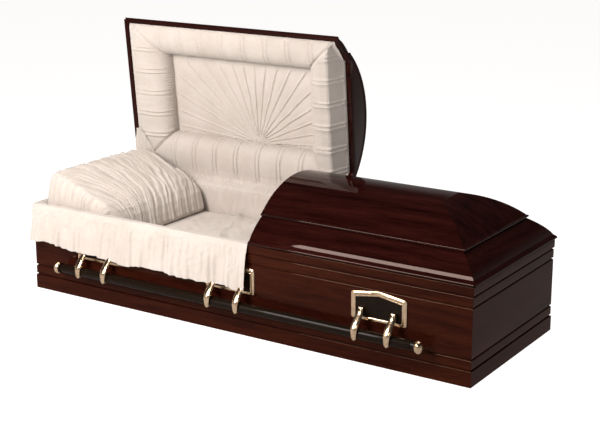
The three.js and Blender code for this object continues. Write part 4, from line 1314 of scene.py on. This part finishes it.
def build_hinge_cloth():
    """The gathered strip behind the mattress, from the body's rim up to the open lid."""
    first, last = -HALF_LENGTH + 26, SPLIT_EDGE - 6
    section = [(322, 372), (331, 385), (345, 393), (356, 399), (359.5, 412), (358.5, 430), (357, 443)]
    bunch_x = -900

    def shape(u, v):
        x = mix(first, last, u)
        y, z = follow(section, v)
        gather = 1.1 * math.sin(x / 2.9 + 3 * ripple(x / 30, v * 1.5, 2))
        gather += 2.4 * ripple(x / 32, v * 1.2, 9)
        # The strip is bunched up into the corner at the head end.
        corner = smooth((bunch_x - x) / 110)
        slack = 5 * ripple(x / 90, 2.7, v) + corner * (30 - 14 * v)
        gather += 5 * corner * math.sin(v * 16 + x / 14)
        lift = 150 * corner * v ** 1.5
        x -= 22 * corner * smooth(v / 0.5)
        free = smooth(v / 0.2)
        return (x, y - (gather + slack) * free, z + 0.8 * gather * free + lift)

    piece = cloth_grid("hinge_cloth", 520, 30, shape, 1.2)
    cover(piece, finish_named("crepe"))
    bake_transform(piece)


def cloth_grid(name, columns, rows, shape, thickness):
    """A sheet of cloth: a grid whose points shape(u, v) places, given its thickness."""
    piece = grid_piece(name, columns, rows, shape)
    pick(piece)
    wall = piece.modifiers.new("thickness", "SOLIDIFY")
    wall.thickness = thickness * MM
    wall.offset = 0
    bpy.ops.object.modifier_apply(modifier=wall.name)
    edit(piece)
    return done(piece, 60)


# The throw's wavy hem from the split to the head end: along the casket and how high.
HEM = [(81, 192), (-33, 205), (-160, 198), (-260, 199), (-336, 206), (-426, 208), (-521, 195),
       (-592, 202), (-700, 211), (-830, 211), (-880, 218), (-959, 228), (-1034, 222)]
# How far the hem stands out at the split, before the corner and round the head end.
HEM_FLARES = (27, 22, 7)


def hem_height(x):
    """The height of the throw's hem at that place along the casket."""
    for (x0, z0), (x1, z1) in zip(HEM, HEM[1:]):
        if x >= x1:
            return mix(z0, z1, smooth((x0 - x) / (x0 - x1)))
    return HEM[-1][1]


def build_throw():
    """The throw over the front rim, which turns the corner at the head end."""
    sizes = bpy.context.scene.casket_sizes
    first, inner = HEM[0][0], 21.5
    corner_x, corner_y = -HALF_LENGTH + inner, -HALF_WIDTH + inner
    straight = first - corner_x
    round_off = 52
    wrap = 240 - inner
    total = straight + round_off + wrap
    drop = 180
    tuck = 14
    depth = sizes.ripple / MM
    # The shares of the width that lie on the rim and that bend over its edge, and the bend's radius.
    over, bend = 0.14, 0.05
    bend_radius = 5.2
    rim_edge = inner - 2.5
    at_split, at_corner, at_head = HEM_FLARES

    def station(s):
        """Where the rim line is, which way is outwards, and how far the hem flares there."""
        if s <= straight:
            return Vector((first - s, corner_y)), 0.0, mix(at_split, at_corner, s / straight)
        if s <= straight + round_off:
            t = (s - straight) / round_off
            return Vector((corner_x, corner_y)), t * math.pi / 2, mix(at_corner, at_head, t)
        return Vector((corner_x, corner_y + s - straight - round_off)), math.pi / 2, at_head

    def shape(u, v):
        s = u * total
        place, turn, flare = station(s)
        outward = Vector((-math.sin(turn), -math.cos(turn)))
        corner = 0.55 * inner * (1 / max(math.cos(turn), math.sin(turn)) - 1)
        folds = 0.8 * ripple(s / 40, v * 0.8, 3) + 0.3 * ripple(s / 14, v * 2, 8)
        pinch = math.sin(s / 6.2 + 5 * ripple(s / 75, v * 0.5, 11))
        folds += 0.42 * pinch * (0.5 + ripple(s / 60, v, 5))
        hem = hem_height(place.x) - RIM + drop + 3 * ripple(s / 40, 0.3, 6)
        if v < over:
            t = v / over
            out = mix(-tuck, rim_edge, t)
            height = RIM + 2.2 - 7 * smooth(1 - t / 0.4) + 0.8 * folds * smooth(t)
        elif v < over + bend:
            a = (v - over) / bend * math.pi / 2
            out, height = rim_edge + bend_radius * math.sin(a), RIM - 3 + bend_radius * math.cos(a)
        else:
            t = (v - over - bend) / (1 - over - bend)
            out = rim_edge + bend_radius + flare * t ** 0.9
            out += depth * folds * smooth(t / 0.3) * mix(0.6, 1, t)
            crush = 0.8 + ripple(s / 15, v * 10, 4) + 0.6 * ripple(s / 8, v * 15, 7)
            out += 2.6 * crush * smooth(t / 0.1) * mix(1, 0.3, t)
            height = RIM - 3 - (drop - 3 - hem) * t
        point = place + outward * (out + corner)
        return (point.x, point.y, height)

    piece = cloth_grid("rim_throw", 620, 64, shape, 1.6)
    give(piece, finish_named("throw"), "throw_cloth", "body", "throw")
    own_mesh(piece)


# Camera, floor and light

CAMERA_PLACE = (3.018, -4.5109, 1.9087)
CAMERA_TILT = 74.502
CAMERA_TURN = 32.992
CAMERA_LENS = 81.74
CAMERA_SENSOR = 36

# Each softbox: its place, the point it faces, its width and height, and its power in watts.
SOFTBOXES = {
    "strip_box": ((-0.81, -2.57, 2.22), (-0.81, -0.35, 0.4), (1.4, 1.75), 160),
    "edge_box": ((-1.75, -3.75, 1.75), (0.2, -0.3, 0.4), (1.8, 1.7), 22),
    "top_box": ((1.0, 0.35, 4.2), (0.1, 0, 0.4), (2.0, 2.0), 100),
    "camera_box": ((2.2, -5.2, 3.4), (0, 0, 0.5), (2.2, 2.0), 45),
}
SOFTBOX_COLOUR = (1, 0.97, 0.95)


def softbox(name, place, target, size, power):
    """A rectangular area light that faces its target."""
    bpy.ops.object.light_add(type="AREA", location=place)
    light = bpy.context.object
    light.name = name
    light.rotation_euler = (Vector(target) - Vector(place)).to_track_quat("-Z", "Y").to_euler()
    light.data.shape = "RECTANGLE"
    light.data.size, light.data.size_y = size
    light.data.energy = power
    light.data.color = SOFTBOX_COLOUR


def build_stage():
    """The floor, the photo's camera, the studio round it and four softboxes."""
    clear_selection()
    bpy.ops.mesh.primitive_plane_add(size=80)
    floor = name_piece("studio_floor")
    material, tree, shader = new_material("pale floor", {
        "Roughness": 0.9, "Specular IOR Level": 0.0, "Base Color": (0.3, 0.298, 0.295, 1),
        "Emission Color": (1, 0.99, 0.98, 1), "Emission Strength": 0.9})
    # The sheet stays white to the eye, but the lacquer sees a darker one, as it did in the photo.
    rays = add_node(tree, "ShaderNodeLightPath")
    seen = add_node(tree, "ShaderNodeMath", {1: -0.82, 2: 0.95}, operation="MULTIPLY_ADD")
    link(rays, "Is Glossy Ray", seen, 0)
    link(seen, 0, shader, "Emission Strength")
    floor.data.materials.append(material)

    rotation = (math.radians(CAMERA_TILT), 0, math.radians(CAMERA_TURN))
    bpy.ops.object.camera_add(location=CAMERA_PLACE, rotation=rotation)
    camera = bpy.context.object
    camera.name = "photo_camera"
    camera.data.lens = CAMERA_LENS
    camera.data.sensor_width = CAMERA_SENSOR
    bpy.context.scene.camera = camera

    # The studio is bright low down and dark overhead, so that only the softboxes shine in the lacquer.
    world = bpy.data.worlds.new("studio")
    world.use_nodes = True
    tree = world.node_tree
    where = add_node(tree, "ShaderNodeTexCoord")
    height = add_node(tree, "ShaderNodeSeparateXYZ")
    shades = two_tones(tree, (0.4, 0.39, 0.38), (0.03, 0.03, 0.03), 0.05, 0.4)
    link(where, "Generated", height, "Vector")
    link(height, "Z", shades, "Fac")
    # Behind the floor's edge the eye sees the same white as the floor.
    rays = add_node(tree, "ShaderNodeLightPath")
    seen = add_node(tree, "ShaderNodeMath", {1: 0.97}, operation="MULTIPLY")
    link(rays, "Is Camera Ray", seen, 0)
    backdrop = add_node(tree, "ShaderNodeVectorMath", operation="MAXIMUM")
    link(shades, "Color", backdrop, 0)
    link(seen, 0, backdrop, 1)
    link(backdrop, 0, tree.nodes["Background"], "Color")
    bpy.context.scene.world = world

    for name, values in SOFTBOXES.items():
        softbox(name, *values)
    bpy.context.scene.view_settings.view_transform = "Standard"


# Operators, panel and registration

class CutBodyBoards(bpy.types.Operator):
    """Cuts the base and side boards with their grooves."""

    bl_idname = "casket.body_boards"
    bl_label = "Body boards"

    def execute(self, context):
        build_body_boards()
        return {"FINISHED"}


class ShapeLids(bpy.types.Operator):
    """Shapes both lids: their rails, crowns and headers."""

    bl_idname = "casket.lids"
    bl_label = "Lids"

    def execute(self, context):
        build_lids()
        return {"FINISHED"}


class SewLidRolls(bpy.types.Operator):
    """Sews the four puffed rolls of the head lid."""

    bl_idname = "casket.lid_rolls"
    bl_label = "Lid rolls"

    def execute(self, context):
        build_rolls()
        return {"FINISHED"}


class FanSunburst(bpy.types.Operator):
    """Fans the pleats over the head lid's panel."""

    bl_idname = "casket.sunburst"
    bl_label = "Sunburst panel"

    def execute(self, context):
        build_sunburst()
        return {"FINISHED"}


class LineFootLid(bpy.types.Operator):
    """Quilts the lining of the foot lid."""

    bl_idname = "casket.foot_lid_lining"
    bl_label = "Foot lid lining"

    def execute(self, context):
        build_foot_lid_lining()
        return {"FINISHED"}


class GatherBodyLining(bpy.types.Operator):
    """Gathers the lining round the inside of the body."""

    bl_idname = "casket.body_lining"
    bl_label = "Body lining"

    def execute(self, context):
        build_body_lining()
        return {"FINISHED"}


class LayMattress(bpy.types.Operator):
    """Lays the mattress."""

    bl_idname = "casket.mattress"
    bl_label = "Mattress"

    def execute(self, context):
        build_mattress()
        return {"FINISHED"}


class ShirrPillow(bpy.types.Operator):
    """Shapes and shirrs the pillow."""

    bl_idname = "casket.pillow"
    bl_label = "Pillow"

    def execute(self, context):
        build_pillow()
        return {"FINISHED"}


class GatherHingeCloth(bpy.types.Operator):
    """Gathers the strip of cloth along the hinge."""

    bl_idname = "casket.hinge_cloth"
    bl_label = "Hinge cloth"

    def execute(self, context):
        build_hinge_cloth()
        return {"FINISHED"}


class DrapeThrow(bpy.types.Operator):
    """Drapes the throw over the front rim."""

    bl_idname = "casket.throw"
    bl_label = "Throw"

    def execute(self, context):
        build_throw()
        return {"FINISHED"}


class CastHandles(bpy.types.Operator):
    """Casts the plates, arms, bars and caps of both sides."""

    bl_idname = "casket.handles"
    bl_label = "Handles"

    def execute(self, context):
        build_handles()
        return {"FINISHED"}


class FitHinges(bpy.types.Operator):
    """Finishes the long hinges."""

    bl_idname = "casket.hinges"
    bl_label = "Hinges"

    def execute(self, context):
        build_hinges()
        return {"FINISHED"}


class SetStage(bpy.types.Operator):
    """Sets the camera, the floor and the lights."""

    bl_idname = "casket.stage"
    bl_label = "Camera and stage"

    def execute(self, context):
        build_stage()
        return {"FINISHED"}


STEPS = [
    CutBodyBoards, ShapeLids, SewLidRolls, FanSunburst, LineFootLid, GatherBodyLining, LayMattress,
    ShirrPillow, GatherHingeCloth, DrapeThrow, CastHandles, FitHinges, SetStage,
]


class CasketPanel(bpy.types.Panel):
    """Lists the casket's sizes, colours and steps."""

    bl_idname = "VIEW3D_PT_casket"
    bl_label = "Casket"
    bl_space_type = "VIEW_3D"
    bl_region_type = "UI"
    bl_category = "Casket"

    def draw(self, context):
        for group in (context.scene.casket_sizes, context.scene.casket_finish):
            for name in group.bl_rna.properties.keys():
                if name not in ("rna_type", "name"):
                    self.layout.prop(group, name)
        for step in STEPS:
            self.layout.operator(step.bl_idname)


CLASSES = [CasketFinish, CasketSizes, *STEPS, CasketPanel]


def register():
    for each in CLASSES:
        bpy.utils.register_class(each)
    bpy.types.Scene.casket_finish = PointerProperty(type=CasketFinish)
    bpy.types.Scene.casket_sizes = PointerProperty(type=CasketSizes)


def unregister():
    del bpy.types.Scene.casket_sizes
    del bpy.types.Scene.casket_finish
    for each in reversed(CLASSES):
        bpy.utils.unregister_class(each)


def main():
    """Runs every step."""
    register()
    for step in STEPS:
        family, action = step.bl_idname.split(".")
        getattr(getattr(bpy.ops, family), action)()
    clear_selection()


if __name__ == "__main__":
    main()
